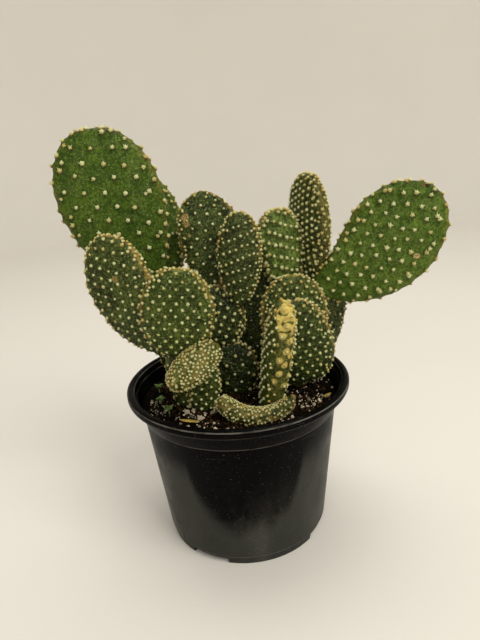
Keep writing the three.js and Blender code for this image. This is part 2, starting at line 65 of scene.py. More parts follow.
# base: the joint. size: length, width, thickness. aim: lean to the right, tip towards the viewer
# and turn about the length, in degrees. taper: how the width opens from the joint, which is lower
# for a blunter pad. ends: that power and the tip's own, for width and thickness alike. bend: bow in
# the pad's plane and curl out of it, in degrees. gap: from one tuft to the next. rows: where tufts
# show as clear rows, the way along a row, the way to the next row and the rows' slope up to the
# right in degrees. rim: the pace of the tufts along the edge, against the gap. stray: how far a
# tuft strays from its row, against the gap. tuft: size against a full-grown pad's tuft. skin and
# shade: the flesh where it is light and where it is deep.
PADS = {
    "left_root": dict(
        base=(-34, -14, 99), size=(58, 27, 16), aim=(-4, 7, -10), taper=0.6, gap=6.6, tuft=0.85,
        skin=(0.27, 0.31, 0.15), shade=(0.15, 0.18, 0.08), slot="pad_flesh_dark",
    ),
    "left_back_root": dict(
        base=(-33, 22, 97), size=(96, 42, 16), aim=(-10, 0, 6), taper=0.6, gap=9.0, tuft=0.9,
        skin=(0.22, 0.27, 0.13), shade=(0.12, 0.15, 0.07), slot="pad_flesh_dark",
    ),
    "front_stub": dict(
        base=(-27, -19, 98), size=(50, 22, 15), aim=(6, 12, 15), taper=0.5, gap=5.6, tuft=0.86,
        skin=(0.28, 0.33, 0.16), shade=(0.14, 0.18, 0.08), slot="pad_flesh_dark",
    ),
    # Its greens are painted darker as shade, for a pad deep among the others.
    "centre_root": dict(
        base=(-3, 2, 98), size=(48, 35, 15), aim=(2, 2, 0), taper=0.6, gap=8.6, tuft=1.0,
        skin=(0.17, 0.21, 0.10), shade=(0.07, 0.09, 0.04), slot="pad_flesh_dark",
    ),
    "centre_back_root": dict(
        base=(20, 28, 97), size=(110, 48, 16), aim=(4, 0, 0), taper=0.6, gap=8.6, tuft=0.85,
        skin=(0.20, 0.24, 0.12), shade=(0.10, 0.12, 0.06), slot="pad_flesh_dark",
    ),
    "right_root": dict(
        base=(45, 25, 97), size=(93, 46, 16), aim=(19, 4, 15), taper=0.7, gap=8.0, tuft=0.85,
        skin=(0.25, 0.29, 0.16), shade=(0.13, 0.16, 0.09), slot="pad_flesh_dark",
    ),
    "right_middle": dict(
        base=(46.3, 4, 98), size=(96, 48, 13), aim=(-1.6, 3, 0), taper=1.0, gap=5.3, tuft=0.88,
        skin=(0.30, 0.35, 0.17), shade=(0.15, 0.19, 0.08), slot="pad_flesh_dark",
    ),
    "right_front": dict(
        base=(48.1, -6.5, 113.9), size=(69, 50.4, 14), aim=(-6.2, 12, 0), ends=(0.3, 0.45),
        gap=6.1, tuft=0.9,
        skin=(0.24, 0.29, 0.14), shade=(0.12, 0.16, 0.07), slot="pad_flesh_dark",
    ),
    "variegated": dict(
        base=(19.8, -26, 98), size=(89.7, 28, 16.7), aim=(9.3, 9, -82), ends=(0.35, 0.25),
        gap=5.5, rim=0.62, tuft=0.94,
        skin=(0.30, 0.34, 0.15), shade=(0.16, 0.20, 0.08), slot="pad_flesh_variegated",
    ),
    "front_crescent": dict(
        base=(37.3, -44, 121.9), size=(60.2, 11.4, 11), aim=(-145, 12, 0), ends=(0.4, 0.2),
        bend=(113, -20), gap=2.9, stray=0.24, tuft=0.72,
        skin=(0.33, 0.34, 0.17), shade=(0.17, 0.20, 0.09), slot="pad_flesh_corky",
    ),
    # Its greens are painted darker as shade, for a pad deep among the others.
    "centre_middle": dict(
        base=(-7, 2, 141), size=(49, 42, 14), aim=(-13, 0, 0), taper=0.6, gap=6.2, tuft=0.95,
        skin=(0.19, 0.23, 0.11), shade=(0.08, 0.11, 0.05), slot="pad_flesh_dark",
    ),
    "front_corky": dict(
        base=(-11, -31, 157), size=(43, 22, 15), aim=(-120, 26, 0), taper=0.5,
        gap=2.7, stray=0.24, tuft=0.74,
        skin=(0.38, 0.38, 0.20), shade=(0.22, 0.24, 0.10), slot="pad_flesh_corky",
    ),
    "left_round": dict(
        base=(-40, -28, 151), size=(64.3, 48.2, 13), aim=(7.3, 12, 0), taper=0.5, gap=6.0, tuft=0.88,
        skin=(0.29, 0.35, 0.16), shade=(0.17, 0.22, 0.08), slot="pad_flesh_light",
    ),
    "left_low": dict(
        base=(-44, -18, 150), size=(94, 49, 14), aim=(-46, 8, -28), taper=0.7, bend=(50, -25),
        gap=6.3, tuft=0.9,
        skin=(0.28, 0.33, 0.17), shade=(0.16, 0.20, 0.09), slot="pad_flesh_light",
    ),
    "left_tall": dict(
        base=(-55.3, 18, 183), size=(122, 72, 14), aim=(-24, 5, -4), taper=0.82, bend=(21, 0),
        gap=11.4, rows=(13.6, 9.4, -4), rim=0.3, tuft=1.28,
        skin=(0.28, 0.37, 0.13), shade=(0.20, 0.29, 0.08), slot="pad_flesh_light",
    ),
    # Its greens are painted paler than the other pads' as light, against the shadow that the pads in
    # front cast on it.
    "left_behind": dict(
        base=(-49, 29, 182), size=(90, 53, 12), aim=(-11, -4, 10), taper=0.65, gap=9.2, tuft=1.0,
        skin=(0.33, 0.42, 0.17), shade=(0.23, 0.32, 0.11), slot="pad_flesh_light",
    ),
    "centre_tall": dict(
        base=(-8, 6, 182.3), size=(73.4, 46, 12), aim=(9, -5, 0), taper=0.5, bend=(-43, 0),
        gap=7.4, tuft=0.9,
        skin=(0.24, 0.29, 0.14), shade=(0.14, 0.18, 0.07), slot="pad_flesh_dark",
    ),
    "centre_narrow": dict(
        base=(5.5, -2, 174.7), size=(66.5, 29.3, 12), aim=(3.7, 4, -8), taper=0.65,
        gap=5.7, rows=(4.1, 7.0, 20), tuft=0.84,
        skin=(0.25, 0.29, 0.16), shade=(0.14, 0.17, 0.08), slot="pad_flesh_dark",
    ),
    "centre_right": dict(
        base=(43.2, 21, 164.9), size=(74, 33, 13), aim=(-5.4, 4, 12), taper=1.0,
        gap=5.4, rows=(4.3, 7.6, -18), tuft=1.14,
        skin=(0.38, 0.46, 0.24), shade=(0.23, 0.30, 0.13), slot="pad_flesh_light",
    ),
    "right_upright": dict(
        base=(61.7, 22, 178), size=(83.5, 43, 15.5), aim=(-1, 0, -66), taper=0.7,
        gap=5.3, rows=(9.6, 2.2, 0), tuft=0.96,
        skin=(0.30, 0.33, 0.17), shade=(0.16, 0.19, 0.09), slot="pad_flesh_dark",
    ),
    "right_large": dict(
        base=(58, 14, 181), size=(111, 62, 13), aim=(84, 22, 0), taper=0.88, bend=(-79, 0),
        gap=9.6, rows=(8.6, 7.4, -9), rim=0.36, tuft=1.2,
        skin=(0.32, 0.41, 0.17), shade=(0.23, 0.32, 0.11), slot="pad_flesh_light",
    ),
}
TUBERCLE_SHARE = 0.36  # radius of the swelling under a tuft, against the gap between tufts
COLUMN_SHARE = 1.2  # from one tuft to the next in a row, against the gap
ROW_SHARE = 0.79  # from one row of tufts to the next, against the gap
STRAY = 0.06  # how far a tuft strays from its row, against the gap
ROW_PHASE = 0.3  # a row passes this far above the middle of the pad, against the way to the next
FACE_START = 0.06  # where the faces' tufts begin, as a share of the pad's length
TIP_CLEARANCE = 0.3  # the faces' tufts stay this far from the tip, against the gap
EDGE_CLEARANCE = 0.34  # and this far from the edge
RIM_START = 0.1  # where the edge's tufts begin, as a share of the way along the edge
RIM_PACE = 0.2  # tufts stand closer along the edge, against the gap
RIM_SHIFT = 0.3  # how far one edge's tufts lag behind the other's, against their pace
RIM_SPREAD = 0.62  # how far to each side of the edge they stand, in radians round the section
TUFT_TILT = 0.4  # how far a tuft leans from the skin's normal towards the pad's tip
TUFT_SINK = 0.35  # how deep a tuft's middle sits in the skin
BRISTLES = 9  # in one tuft
SKIN_WAVES = ((24, 0.35), (3.6, 0.13))  # wavelength and height of the skin's unevenness
PAD_FACE_SIZE = 1.05  # side of one facet of the skin
PAD_SEED = 41

# ---------------------------------------------------------------- the soil and what lies on it

SOIL_EDGE_Z = 105.5  # height of the mound's edge
SOIL_MOUND = 2.0  # how much higher its middle is
SOIL_EDGE_RADIUS = 73.3  # radius of that edge
SOIL_REACH = 72.4  # radius of the soil where it meets the wall
SOIL_FLOOR = 2.4
SOIL_WAVES = ((26, 0.9), (7, 0.75), (2.6, 0.45))  # wavelength and height of its unevenness
SOIL_SEED = 3
SEEDLINGS = {
    "back": dict(place=(-61, 6), height=7, turn=20),
    "middle": dict(place=(-58, -12), height=5, turn=75),
    "front": dict(place=(-50, -30), height=6, turn=130),
}


# ---------------------------------------------------------------- settings


def length_setting(name, description, millimetres):
    """A length that a user can change, stored in metres."""
    return bpy.props.FloatProperty(
        name=name, description=description, default=millimetres * MM, min=0.0, unit="LENGTH"
    )


def power_setting(name, description, watts):
    """A lamp's power that a user can change."""
    return bpy.props.FloatProperty(
        name=name, description=description, default=watts, min=0.0, unit="POWER"
    )


def count_setting(name, description, count):
    """A number of stones or chips that a user can change."""
    return bpy.props.IntProperty(name=name, description=description, default=count, min=0)


def colour_setting(name, description, colour):
    """A colour that a user can change, as it shows on a screen."""
    return bpy.props.FloatVectorProperty(
        name=name, description=description, default=colour, size=3, min=0.0, max=1.0,
        subtype="COLOR_GAMMA",
    )


class CactusPotSettings(bpy.types.PropertyGroup):
    """Sizes and finish of the nursery pot."""

    rim_radius: length_setting("Rim radius", "Outside radius of the rolled rim", 82.5)
    mouth_radius: length_setting("Mouth radius", "Inside radius at the very top", 77)
    height: length_setting("Height", "From the resting face to the top of the rim", 120)
    collar_height: length_setting("Collar height", "Height of the step below the collar", 100)
    shoulder_radius: length_setting("Shoulder radius", "Wall radius below the collar", 72.2)
    base_radius: length_setting("Base radius", "Wall radius at the foot", 61.1)
    wall: length_setting("Wall", "Thickness of the plastic", 1.6)
    drain_radius: length_setting("Drain radius", "Radius of a drain hole", 4.5)
    plastic: colour_setting("Plastic", "Colour of the clean plastic", (0.015, 0.015, 0.014))
    # This colour is also painted as thin highlight lines along the pot's edges.
    dust_and_highlight: colour_setting("Dust", "Colour of the dust and scuffs", (0.40, 0.39, 0.35))


class CactusSoilSettings(bpy.types.PropertyGroup):
    """Colours and amounts of the potting mix."""

    damp: colour_setting("Damp soil", "Colour in the hollows", (0.022, 0.015, 0.009))
    dry: colour_setting("Dry soil", "Colour of the crumbs", (0.115, 0.083, 0.048))
    grit_count: count_setting("Grit", "Number of small pale stones", 560)
    chip_count: count_setting("Chips", "Number of dark bark chips", 1300)
    grit: colour_setting("Grit", "Colour of the palest stones", (0.90, 0.84, 0.70))
    chip: colour_setting("Chip", "Colour of the bark chips", (0.28, 0.185, 0.095))


class CactusPadSettings(bpy.types.PropertyGroup):
    """Sizes and colours that all the pads share."""

    tuft_radius: length_setting("Tuft radius", "Radius of a full-grown tuft", 1.36)
    tubercle_height: length_setting("Tubercle height", "Swelling under a tuft", 0.95)
    felt: colour_setting("Felt", "Colour of a tuft's bristle ends", (0.90, 0.93, 0.68))
    felt_edge: colour_setting("Felt at the edge", "Colour of tufts on a rim", (0.79, 0.70, 0.36))
    # The brown at a tuft's foot is partly the felt's own colour and partly painted shade.
    felt_base_and_shade: colour_setting("Felt base", "Colour where a tuft meets the skin", (0.43, 0.33, 0.11))
    cork: colour_setting("Cork", "Colour of healed skin", (0.54, 0.455, 0.25))
    yellow: colour_setting("Yellow", "Colour of the variegated flesh", (0.78, 0.70, 0.37))


class CactusStageSettings(bpy.types.PropertyGroup):
    """The floor and the lights."""

    floor: colour_setting("Floor", "Colour of the plain floor", (0.87, 0.85, 0.81))
    key_power: power_setting("Key", "Power of the large soft light", 18.0)
    fill_power: power_setting("Fill", "Power of the light from the front", 5.0)
    sky: bpy.props.FloatProperty(
        name="Sky", description="Strength of the even light all round", default=0.34, min=0.0
    )
    wall_power: power_setting("Wall", "Power of each light on the backdrop", 4.2)


# ---------------------------------------------------------------- shapes


def ripple(points, wavelength, seed, waves=28):
    """Smooth noise, about -1 to 1: plane waves cos(k.p + phase) added up, whose directions are
    even over the sphere and whose lengths are 0.7 to 1.4 times the wavelength."""
    random = np.random.default_rng(seed)
    directions = random.normal(size=(waves, 3))
    directions /= np.linalg.norm(directions, axis=1)[:, None]
    directions *= TWO_PI / (wavelength * random.uniform(0.7, 1.4, waves))[:, None]
    phases = random.uniform(0, TWO_PI, waves)
    flat = points.reshape(-1, 3)
    total = sum(np.cos(flat @ k + phase) for k, phase in zip(directions, phases))
    return (total / math.sqrt(waves / 2) / 2).reshape(points.shape[:-1])


def ripples(points, waves, seed):
    """Several ripples added up, each with its wavelength and height."""
    return sum(
        height * ripple(points, wavelength, seed + number)
        for number, (wavelength, height) in enumerate(waves)
    )


def new_object(name, points, faces, attributes=None, smooth=True):
    """A mesh object from points in millimetres and a list of faces, with per-point numbers."""
    mesh = bpy.data.meshes.new(name)
    mesh.from_pydata((np.asarray(points) * MM).tolist(), [], faces)
    mesh.validate()
    mesh.polygons.foreach_set("use_smooth", np.full(len(mesh.polygons), smooth))
    for key, values in (attributes or {}).items():
        layer = mesh.attributes.new(key, "FLOAT", "POINT")
        layer.data.foreach_set("value", np.asarray(values, np.float32).ravel())
    mesh.update()
    piece = bpy.data.objects.new(name, mesh)
    bpy.context.scene.collection.objects.link(piece)
    return piece


def grid_faces(rows, columns):
    """Quads of a grid of points that closes on itself sideways, rows going up, facing outwards."""
    row, column = np.meshgrid(np.arange(rows - 1), np.arange(columns), indexing="ij")
    here = row * columns + column
    beside = row * columns + (column + 1) % columns
    quads = np.stack([here, beside, beside + columns, here + columns], axis=-1)
    return quads.reshape(-1, 4).tolist()


def closed_grid(points, bottom, top):
    """Points and faces of a tube of rings closed by one point at each end."""
    rows, columns = points.shape[:2]
    flat = np.concatenate([points.reshape(-1, 3), [bottom], [top]])
    low, high = rows * columns, rows * columns + 1
    last = (rows - 1) * columns
    ring = np.arange(columns)
    after = (ring + 1) % columns
    caps = np.stack([np.full(columns, low), after, ring], axis=-1).tolist()
    caps += np.stack([last + ring, last + after, np.full(columns, high)], axis=-1).tolist()
    return flat, grid_faces(rows, columns) + caps


def outline_share(t, start, end):
    """t^start (1 - t)^end, scaled to 1 at its highest: 0 at the joint and 0 at the tip."""
    peak = start / (start + end)
    return t**start * (1 - t) ** end / (peak**start * (1 - peak) ** end)


def width_share(pad, t):
    """A pad's width at t against its widest."""
    return outline_share(t, *pad.get("ends", (pad.get("taper"), TIP_POWER)))


def pad_surface(pad, t, angle):
    """Points of a pad's plain skin at t along it and an angle round it, in millimetres.

    The section is a superellipse x = a cos^(2/n), y = b sin^(2/n), whose half width a and half
    thickness b follow outline_share. The upright pad is bent along a circular arc and carried to
    its place by turning it about its length, then tipping, then leaning it."""
    length, width, thickness = pad["size"]
    half_width = width / 2 * width_share(pad, t)
    half_thickness = thickness / 2 * outline_share(t, *pad.get("ends", THICK_POWERS))
    cosine, sine = np.cos(angle), np.sin(angle)
    x = half_width * np.sign(cosine) * np.abs(cosine) ** (2 / SECTION_POWER)
    y = half_thickness * np.sign(sine) * np.abs(sine) ** (2 / SECTION_POWER)
    z = t * length
    bow, curl = np.radians(pad.get("bend", (0, 0)))
    bend = math.hypot(bow, curl)
    if bend:
        along_x, along_y = bow / bend, -curl / bend
        radius = length / bend
        outward = x * along_x + y * along_y
        sideways = y * along_x - x * along_y
        shifted = outward * np.cos(z / radius) + radius * (1 - np.cos(z / radius))
        z = (radius - outward) * np.sin(z / radius)
        x = shifted * along_x - sideways * along_y
        y = shifted * along_y + sideways * along_x
    lean, tip, turn = (math.radians(a) for a in pad["aim"])
    place = Matrix.Rotation(lean, 3, "Y") @ Matrix.Rotation(tip, 3, "X")
    place = np.array(place @ Matrix.Rotation(turn, 3, "Z"))
    return np.stack([x, y, z], axis=-1) @ place.T + np.array(pad["base"], float)


def pad_normals(pad, t, angle):
    """Outward unit normals of the plain skin, from its slopes round and along the pad."""
    step = 1e-3
    low, high = np.clip(t - step, 1e-4, 1 - 1e-4), np.clip(t + step, 1e-4, 1 - 1e-4)
    along = pad_surface(pad, high, angle) - pad_surface(pad, low, angle)
    middle = np.clip(t, 1e-4, 1 - 1e-4)
    round_it = pad_surface(pad, middle, angle + step) - pad_surface(pad, middle, angle - step)
    normals = np.cross(round_it, along)
    return normals / np.maximum(np.linalg.norm(normals, axis=-1, keepdims=True), 1e-12)


def unbent(pad, x, z):
    """The place on the upright pad that its bow carries to x and z: with R the bend's radius and
    (u, v) the way from its centre, x = R - |u, v| and z = R times the angle turned through."""
    bow = math.radians(pad.get("bend", (0, 0))[0])
    if not bow:
        return x, z
    radius = pad["size"][0] / bow
    inward, forward = radius - x, z
    side = math.copysign(1, radius)
    turned_through = np.arctan2(side * forward, side * inward)
    return radius - side * np.hypot(inward, forward), radius * turned_through


def face_tufts(pad, random):
    """Where tufts stand on a pad's two faces, as t and angle.

    They lie in straight rows, each shifted by half a step, at
    (x, z) = step (cos s, sin s) + row (-sin s, cos s)."""
    length, width, _ = pad["size"]
    gap = pad["gap"]
    step, between, slope = pad.get("rows", (gap * COLUMN_SHARE, gap * ROW_SHARE, -pad["aim"][0]))
    slant = math.radians(slope + pad["aim"][0])
    span = np.arange(-60, 61)
    row, column, side = np.meshgrid(span, span, [-1, 1], indexing="ij")
    stray = pad.get("stray", STRAY) * gap
    across = (column + (row % 2) / 2) * step + random.normal(0, stray, row.shape)
    up = (row + ROW_PHASE) * between + random.normal(0, stray, row.shape)
    x = across * math.cos(slant) - up * math.sin(slant)
    z = across * math.sin(slant) + up * math.cos(slant) + length / 2
    x, z = unbent(pad, x, z)
    t = z / length
    inside = (t > FACE_START) & (t < 1 - TIP_CLEARANCE * gap / length)
    t = np.where(inside, t, 0.5)
    reach = width / 2 * width_share(pad, t)
    inside &= np.abs(x) < reach - EDGE_CLEARANCE * gap
    share = np.clip(np.abs(x / reach), 0, 1)
    cosine = np.sign(x) * share ** (SECTION_POWER / 2)
    sine = side * np.sqrt(1 - share**SECTION_POWER)
    return t[inside], np.arctan2(sine, cosine)[inside]


def edge_tufts(pad, random):
    """Where tufts zigzag along a pad's edge at an even pace, up both sides to the tip, as t and
    angle."""
    length, width, _ = pad["size"]
    t = (1 - np.cos(np.linspace(0, math.pi, 400))) / 2
    x = width / 2 * width_share(pad, t)
    walked = np.cumsum(np.hypot(np.diff(x, prepend=0), np.diff(t * length, prepend=0)))
    pace = pad["gap"] * pad.get("rim", RIM_PACE)
    stops = np.arange(walked[-1] - pace / 2, RIM_START * walked[-1], -pace)
    half = len(stops)
    stops = np.concatenate([stops, stops - RIM_SHIFT * pace])
    zigzag = RIM_SPREAD * np.array([0, 1, -0.5, 0.5, -1])[np.arange(2 * half) % 5]
    angle = np.repeat([0.0, math.pi], half) + zigzag + random.normal(0, 0.1, 2 * half)
    return np.interp(stops, walked, t), angle


def areole_places(pad, random):
    """Where all of a pad's tufts stand, as t and angle, and how golden each is: most on the edge
    and round the tip."""
    t, angle = np.concatenate([face_tufts(pad, random), edge_tufts(pad, random)], axis=1)
    goldenness = np.maximum(np.abs(np.cos(angle)) ** 3, np.clip((t - 0.84) / 0.12, 0, 1))
    return t, angle, goldenness


def end_fade(t):
    """1 along a pad, falling to 0 over the last 3% before its joint and its tip."""
    return np.clip(np.minimum(t, 1 - t) / 0.03, 0, 1)


def nearness(points, centres, radius):
    """exp(-(d / radius)^2), d being a point's distance to the nearest of the centres."""
    flat = points.reshape(-1, 3)
    squared = (flat**2).sum(1)[:, None] + (centres**2).sum(1)[None] - 2 * flat @ centres.T
    return np.exp(-np.maximum(squared, 0) / radius**2).max(1).reshape(points.shape[:-1])


def skin_piece(key, pad, centres, swelling):
    """A pad's skin: the plain surface moved out along its normal by a swelling under each tuft
    and by a faint ripple.

    Each point also says how near a tuft it is, how much it belongs to the edge or the tip, where
    it is across and along the pad, and whether it faces forwards or to the rear."""
    length, width, thickness = pad["size"]
    rows = int(length / PAD_FACE_SIZE) + 12
    columns = 2 * int((width + thickness * 0.7) / PAD_FACE_SIZE)
    t = (1 - np.cos(np.linspace(0, math.pi, rows + 2)[1:-1])) / 2
    angle = np.linspace(0, TWO_PI, columns, endpoint=False)
    t, angle = np.meshgrid(t, angle, indexing="ij")
    plain = pad_surface(pad, t, angle)
    near = nearness(plain, centres, TUBERCLE_SHARE * pad["gap"])
    lift = swelling * near + ripples(plain, SKIN_WAVES, PAD_SEED)
    points = plain + pad_normals(pad, t, angle) * (lift * end_fade(t))[..., None]
    ends = pad_surface(pad, np.array([0.0, 1.0]), np.zeros(2))
    vertices, faces = closed_grid(points, ends[0], ends[1])
    cosine = np.cos(angle)
    margin = np.maximum(np.abs(cosine) ** 6, np.clip((t - 0.96) / 0.04, 0, 1) ** 1.5)
    across = np.sign(cosine) * np.abs(cosine) ** (2 / SECTION_POWER)
    attributes = {
        "near_tuft": np.append(near, [0, 0]),
        "margin": np.append(margin, [0, 1]),
        "across": np.append(across, [0, 0]),
        "rear": np.append(np.sin(angle), [0, 0]),
        "along": np.append(t, [0, 1]),
    }
    return new_object(key + "_skin", vertices, faces, attributes)


def sphere_points(lean, turn):
    """Points of the unit sphere at an angle from +Z and an angle round it."""
    return np.stack([np.sin(lean) * np.cos(turn), np.sin(lean) * np.sin(turn), np.cos(lean)], -1)


def tuft_template(random):
    """One tuft of radius 1: a low felt cushion, and bristles that fan out of it.

    The cushion's rings lie at 100 and 55 degrees from its top. A bristle is a three-sided pyramid
    whose foot is inside the cushion. Returns points, faces and how far out each point is."""
    around = np.linspace(0, TWO_PI, 6, endpoint=False)
    polar, turn = np.meshgrid(np.radians([100, 55]), around, indexing="ij")
    turn = turn + np.array([0, 0.5])[:, None]
    size = random.uniform(0.9, 1.12, polar.shape)
    cushion = sphere_points(polar, turn) * size[..., None] * np.array([1, 1, 0.62])
    points, faces = closed_grid(cushion, (0, 0, -0.3), (0, 0, 0.68))
    lean = np.radians(np.linspace(5, 68, BRISTLES))
    spin = np.arange(BRISTLES) * math.pi * (3 - math.sqrt(5))
    out = sphere_points(lean, spin)
    side = np.cross(out, [0.3, 0.5, 0.8])
    side /= np.linalg.norm(side, axis=1)[:, None]
    other = np.cross(out, side)
    corner = np.radians([0, 120, 240])[None, :, None]
    ring = np.cos(corner) * side[:, None] + np.sin(corner) * other[:, None]
    feet = 0.3 * out[:, None] + 0.4 * ring
    tips = out * random.uniform(1.15, 1.55, (BRISTLES, 1))
    bristle_points = np.concatenate([feet, tips[:, None]], axis=1).reshape(-1, 3)
    first = len(points) + 4 * np.arange(BRISTLES)[:, None, None]
    bristle_faces = first + np.array([[0, 1, 3], [1, 2, 3], [2, 0, 3], [0, 2, 1]])[None]
    points = np.concatenate([points, bristle_points])
    faces = faces + bristle_faces.reshape(-1, 3).tolist()
    return points, faces, np.clip(points[:, 2], 0, 1.4)


def tuft_piece(key, pad, centres, normals, edge, radius, random):
    """All of a pad's tufts in one mesh: the template set at each centre along its normal, turned
    by a random angle and scaled by a random size."""
    points, faces, height = tuft_template(random)
    count = len(centres)
    spin = random.uniform(0, TWO_PI, count)
    helper = np.where(np.abs(normals[:, 2:]) < 0.9, [[0.0, 0.0, 1.0]], [[1.0, 0.0, 0.0]])
    side = np.cross(helper, normals)
    side /= np.linalg.norm(side, axis=1)[:, None]
    other = np.cross(normals, side)
    first = side * np.cos(spin)[:, None] + other * np.sin(spin)[:, None]
    second = other * np.cos(spin)[:, None] - side * np.sin(spin)[:, None]
    frames = np.stack([first, second, normals], axis=1)
    size = radius * pad["tuft"] * random.uniform(0.85, 1.18, count)
    placed = np.einsum("vk,nkx->nvx", points, frames) * size[:, None, None] + centres[:, None]
    offsets = np.arange(count) * len(points)
    triangles = [f for f in faces if len(f) == 3]
    quads = [f for f in faces if len(f) == 4]
    every = (offsets[:, None, None] + np.array(quads)[None]).reshape(-1, 4).tolist()
    every += (offsets[:, None, None] + np.array(triangles)[None]).reshape(-1, 3).tolist()
    attributes = {
        "height": np.tile(height, count),
        "tone": np.repeat(random.uniform(0, 1, count), len(points)),
        "edge": np.repeat(edge, len(points)),
    }
    return new_object(key + "_tufts", placed.reshape(-1, 3), every, attributes)


def rounded(profile, cut, steps=4):
    """A profile with each inner corner replaced by a curve: (1-s)^2 a + 2s(1-s) p + s^2 b, where
    a and b lie on the two sides, a cut's length (or 45% of the side) from the corner p."""
    points = np.asarray(profile, float)
    middle = points[1:-1]
    before, after = points[:-2] - middle, points[2:] - middle
    reach = lambda side: np.minimum(cut / np.linalg.norm(side, axis=1), 0.45)[:, None] * side
    a, b = middle + reach(before), middle + reach(after)
    s = np.linspace(0, 1, steps)[None, :, None]
    curve = (1 - s) ** 2 * a[:, None] + 2 * s * (1 - s) * middle[:, None] + s**2 * b[:, None]
    return np.concatenate([points[:1], curve.reshape(-1, 2), points[-1:]])


def turned(profile, angles):
    """Rings of points for a profile of radius and height turned about Z."""
    radius, height = np.asarray(profile, float).T
    ring = np.stack([np.cos(angles), np.sin(angles)], axis=-1)
    level = radius[:, None, None] * ring[None]
    return np.concatenate([level, np.broadcast_to(height[:, None, None], (*level.shape[:2], 1))], -1)


# ---------------------------------------------------------------- materials


def linear(colour):
    """A screen colour as the light it stands for, with its alpha."""
    c = np.asarray(tuple(colour)[:3], float)
    light = np.where(c <= 0.04045, c / 12.92, ((c + 0.055) / 1.055) ** 2.4)
    return (*light.tolist(), 1.0)


def dimmed(colour, share):
    """A screen colour with each part cut to a share."""
    return [share * part for part in colour]


class Finish:
    """A node material that is put together step by step."""

    def __init__(self, name):
        self.material = bpy.data.materials.new(name)
        self.material.use_nodes = True
        self.tree = self.material.node_tree
        self.shader = self.tree.nodes["Principled BSDF"]
        self.place = self.tree.nodes.new("ShaderNodeTexCoord").outputs["Object"]

    def node(self, kind, inputs, output=0, **settings):
        """Adds a node, sets or links its inputs and gives back one of its outputs."""
        made = self.tree.nodes.new(kind)
        for key, value in settings.items():
            setattr(made, key, value)
        for key, value in inputs.items():
            if isinstance(value, bpy.types.NodeSocket):
                self.tree.links.new(value, made.inputs[key])
            else:
                made.inputs[key].default_value = value
        return made.outputs[output]

    def noise(self, scale, detail=3.0, rough=0.55, place=None):
        """Noise whose blotches are about 1 / scale metres across."""
        inputs = {"Scale": scale, "Detail": detail, "Roughness": rough}
        return self.node("ShaderNodeTexNoise", {"Vector": place or self.place, **inputs})

    def attribute(self, name):
        """A per-point number of the mesh."""
        return self.node("ShaderNodeAttribute", {}, output="Fac", attribute_name=name)

    def ramp(self, value, low, high, to_low=0.0, to_high=1.0):
        """The value carried from the range low..high to another, and held there."""
        inputs = {0: value, 1: low, 2: high, 3: to_low, 4: to_high}
        return self.node("ShaderNodeMapRange", inputs, interpolation_type="SMOOTHSTEP")

    def uneven(self, scale, low, high, detail=3.0):
        """A number that wavers from low to high in soft blotches."""
        return self.ramp(self.noise(scale, detail), 0.3, 0.7, low, high)

    def maths(self, operation, first, second=0.0, third=0.0):
        """One step of arithmetic."""
        return self.node("ShaderNodeMath", {0: first, 1: second, 2: third}, operation=operation)

    def product(self, first, *others):
        """Several values multiplied."""
        for value in others:
            first = self.maths("MULTIPLY", first, value)
        return first

    def mix(self, share, first, second):
        """Two colours mixed by a share. Each is a screen colour or what another step gave."""
        colours = [c if isinstance(c, bpy.types.NodeSocket) else linear(c) for c in (first, second)]
        inputs = {0: share, 6: colours[0], 7: colours[1]}
        return self.node("ShaderNodeMix", inputs, output=2, data_type="RGBA")

    def spot(self, centre, radius):
        """A blotch round a point in millimetres: 1 inside, 0 outside, with a ragged border.

        The noise is 0.5 in the mean, so it puts 0.6 radius on the distance in the mean."""
        ends = {0: self.place, 1: tuple(c * MM for c in centre)}
        away = self.node("ShaderNodeVectorMath", ends, 1, operation="DISTANCE")
        away = self.maths("MULTIPLY_ADD", self.noise(420.0, 4.0, 0.7), 1.2 * radius * MM, away)
        edge = 1.6 * radius * MM
        return self.ramp(away, edge * 1.08, edge * 0.86)

    def finish(self, colour, roughness, bump=None, bump_height=0.0002, constants=None):
        """Links colour, roughness and bump to the shader and sets its other sockets."""
        self.tree.links.new(colour, self.shader.inputs["Base Color"])
        self.tree.links.new(roughness, self.shader.inputs["Roughness"])
        if bump is not None:
            inputs = {"Height": bump, "Distance": bump_height, "Strength": 1.0}
            made = self.node("ShaderNodeBump", inputs)
            self.tree.links.new(made, self.shader.inputs["Normal"])
        for key, value in (constants or {}).items():
            self.shader.inputs[key].default_value = value
        return self.material


FLESH_TINT = (1.11, 1.08, 0.85)  # warms the greens of the table: red, green and blue times these
SPARSE_GAP = 9  # pads whose tufts stand further apart than this have a smooth, even skin
DRY_CREASE = (0.52, 0.55, 0.34)
BLOOM = (0.52, 0.57, 0.34)
EDGE_TAN = (0.66, 0.55, 0.29)
STRAW = (0.81, 0.79, 0.46)
AMBER = (0.86, 0.66, 0.22)  # the variegated pad's tufts where they stand on its edge

CORK = (0.66, 0.57, 0.35)
# A healed scar's colour, painted paler than cork as light where its side of the pad lies in shade.
LIT_SCAB = (0.75, 0.61, 0.37)
FLAKE = (0.86, 0.72, 0.50)
SCRATCH = (0.55, 0.58, 0.34)
FAINT_SCRATCH = (0.52, 0.56, 0.32)
RUST = (0.46, 0.35, 0.17)
NICK = (0.16, 0.11, 0.05)
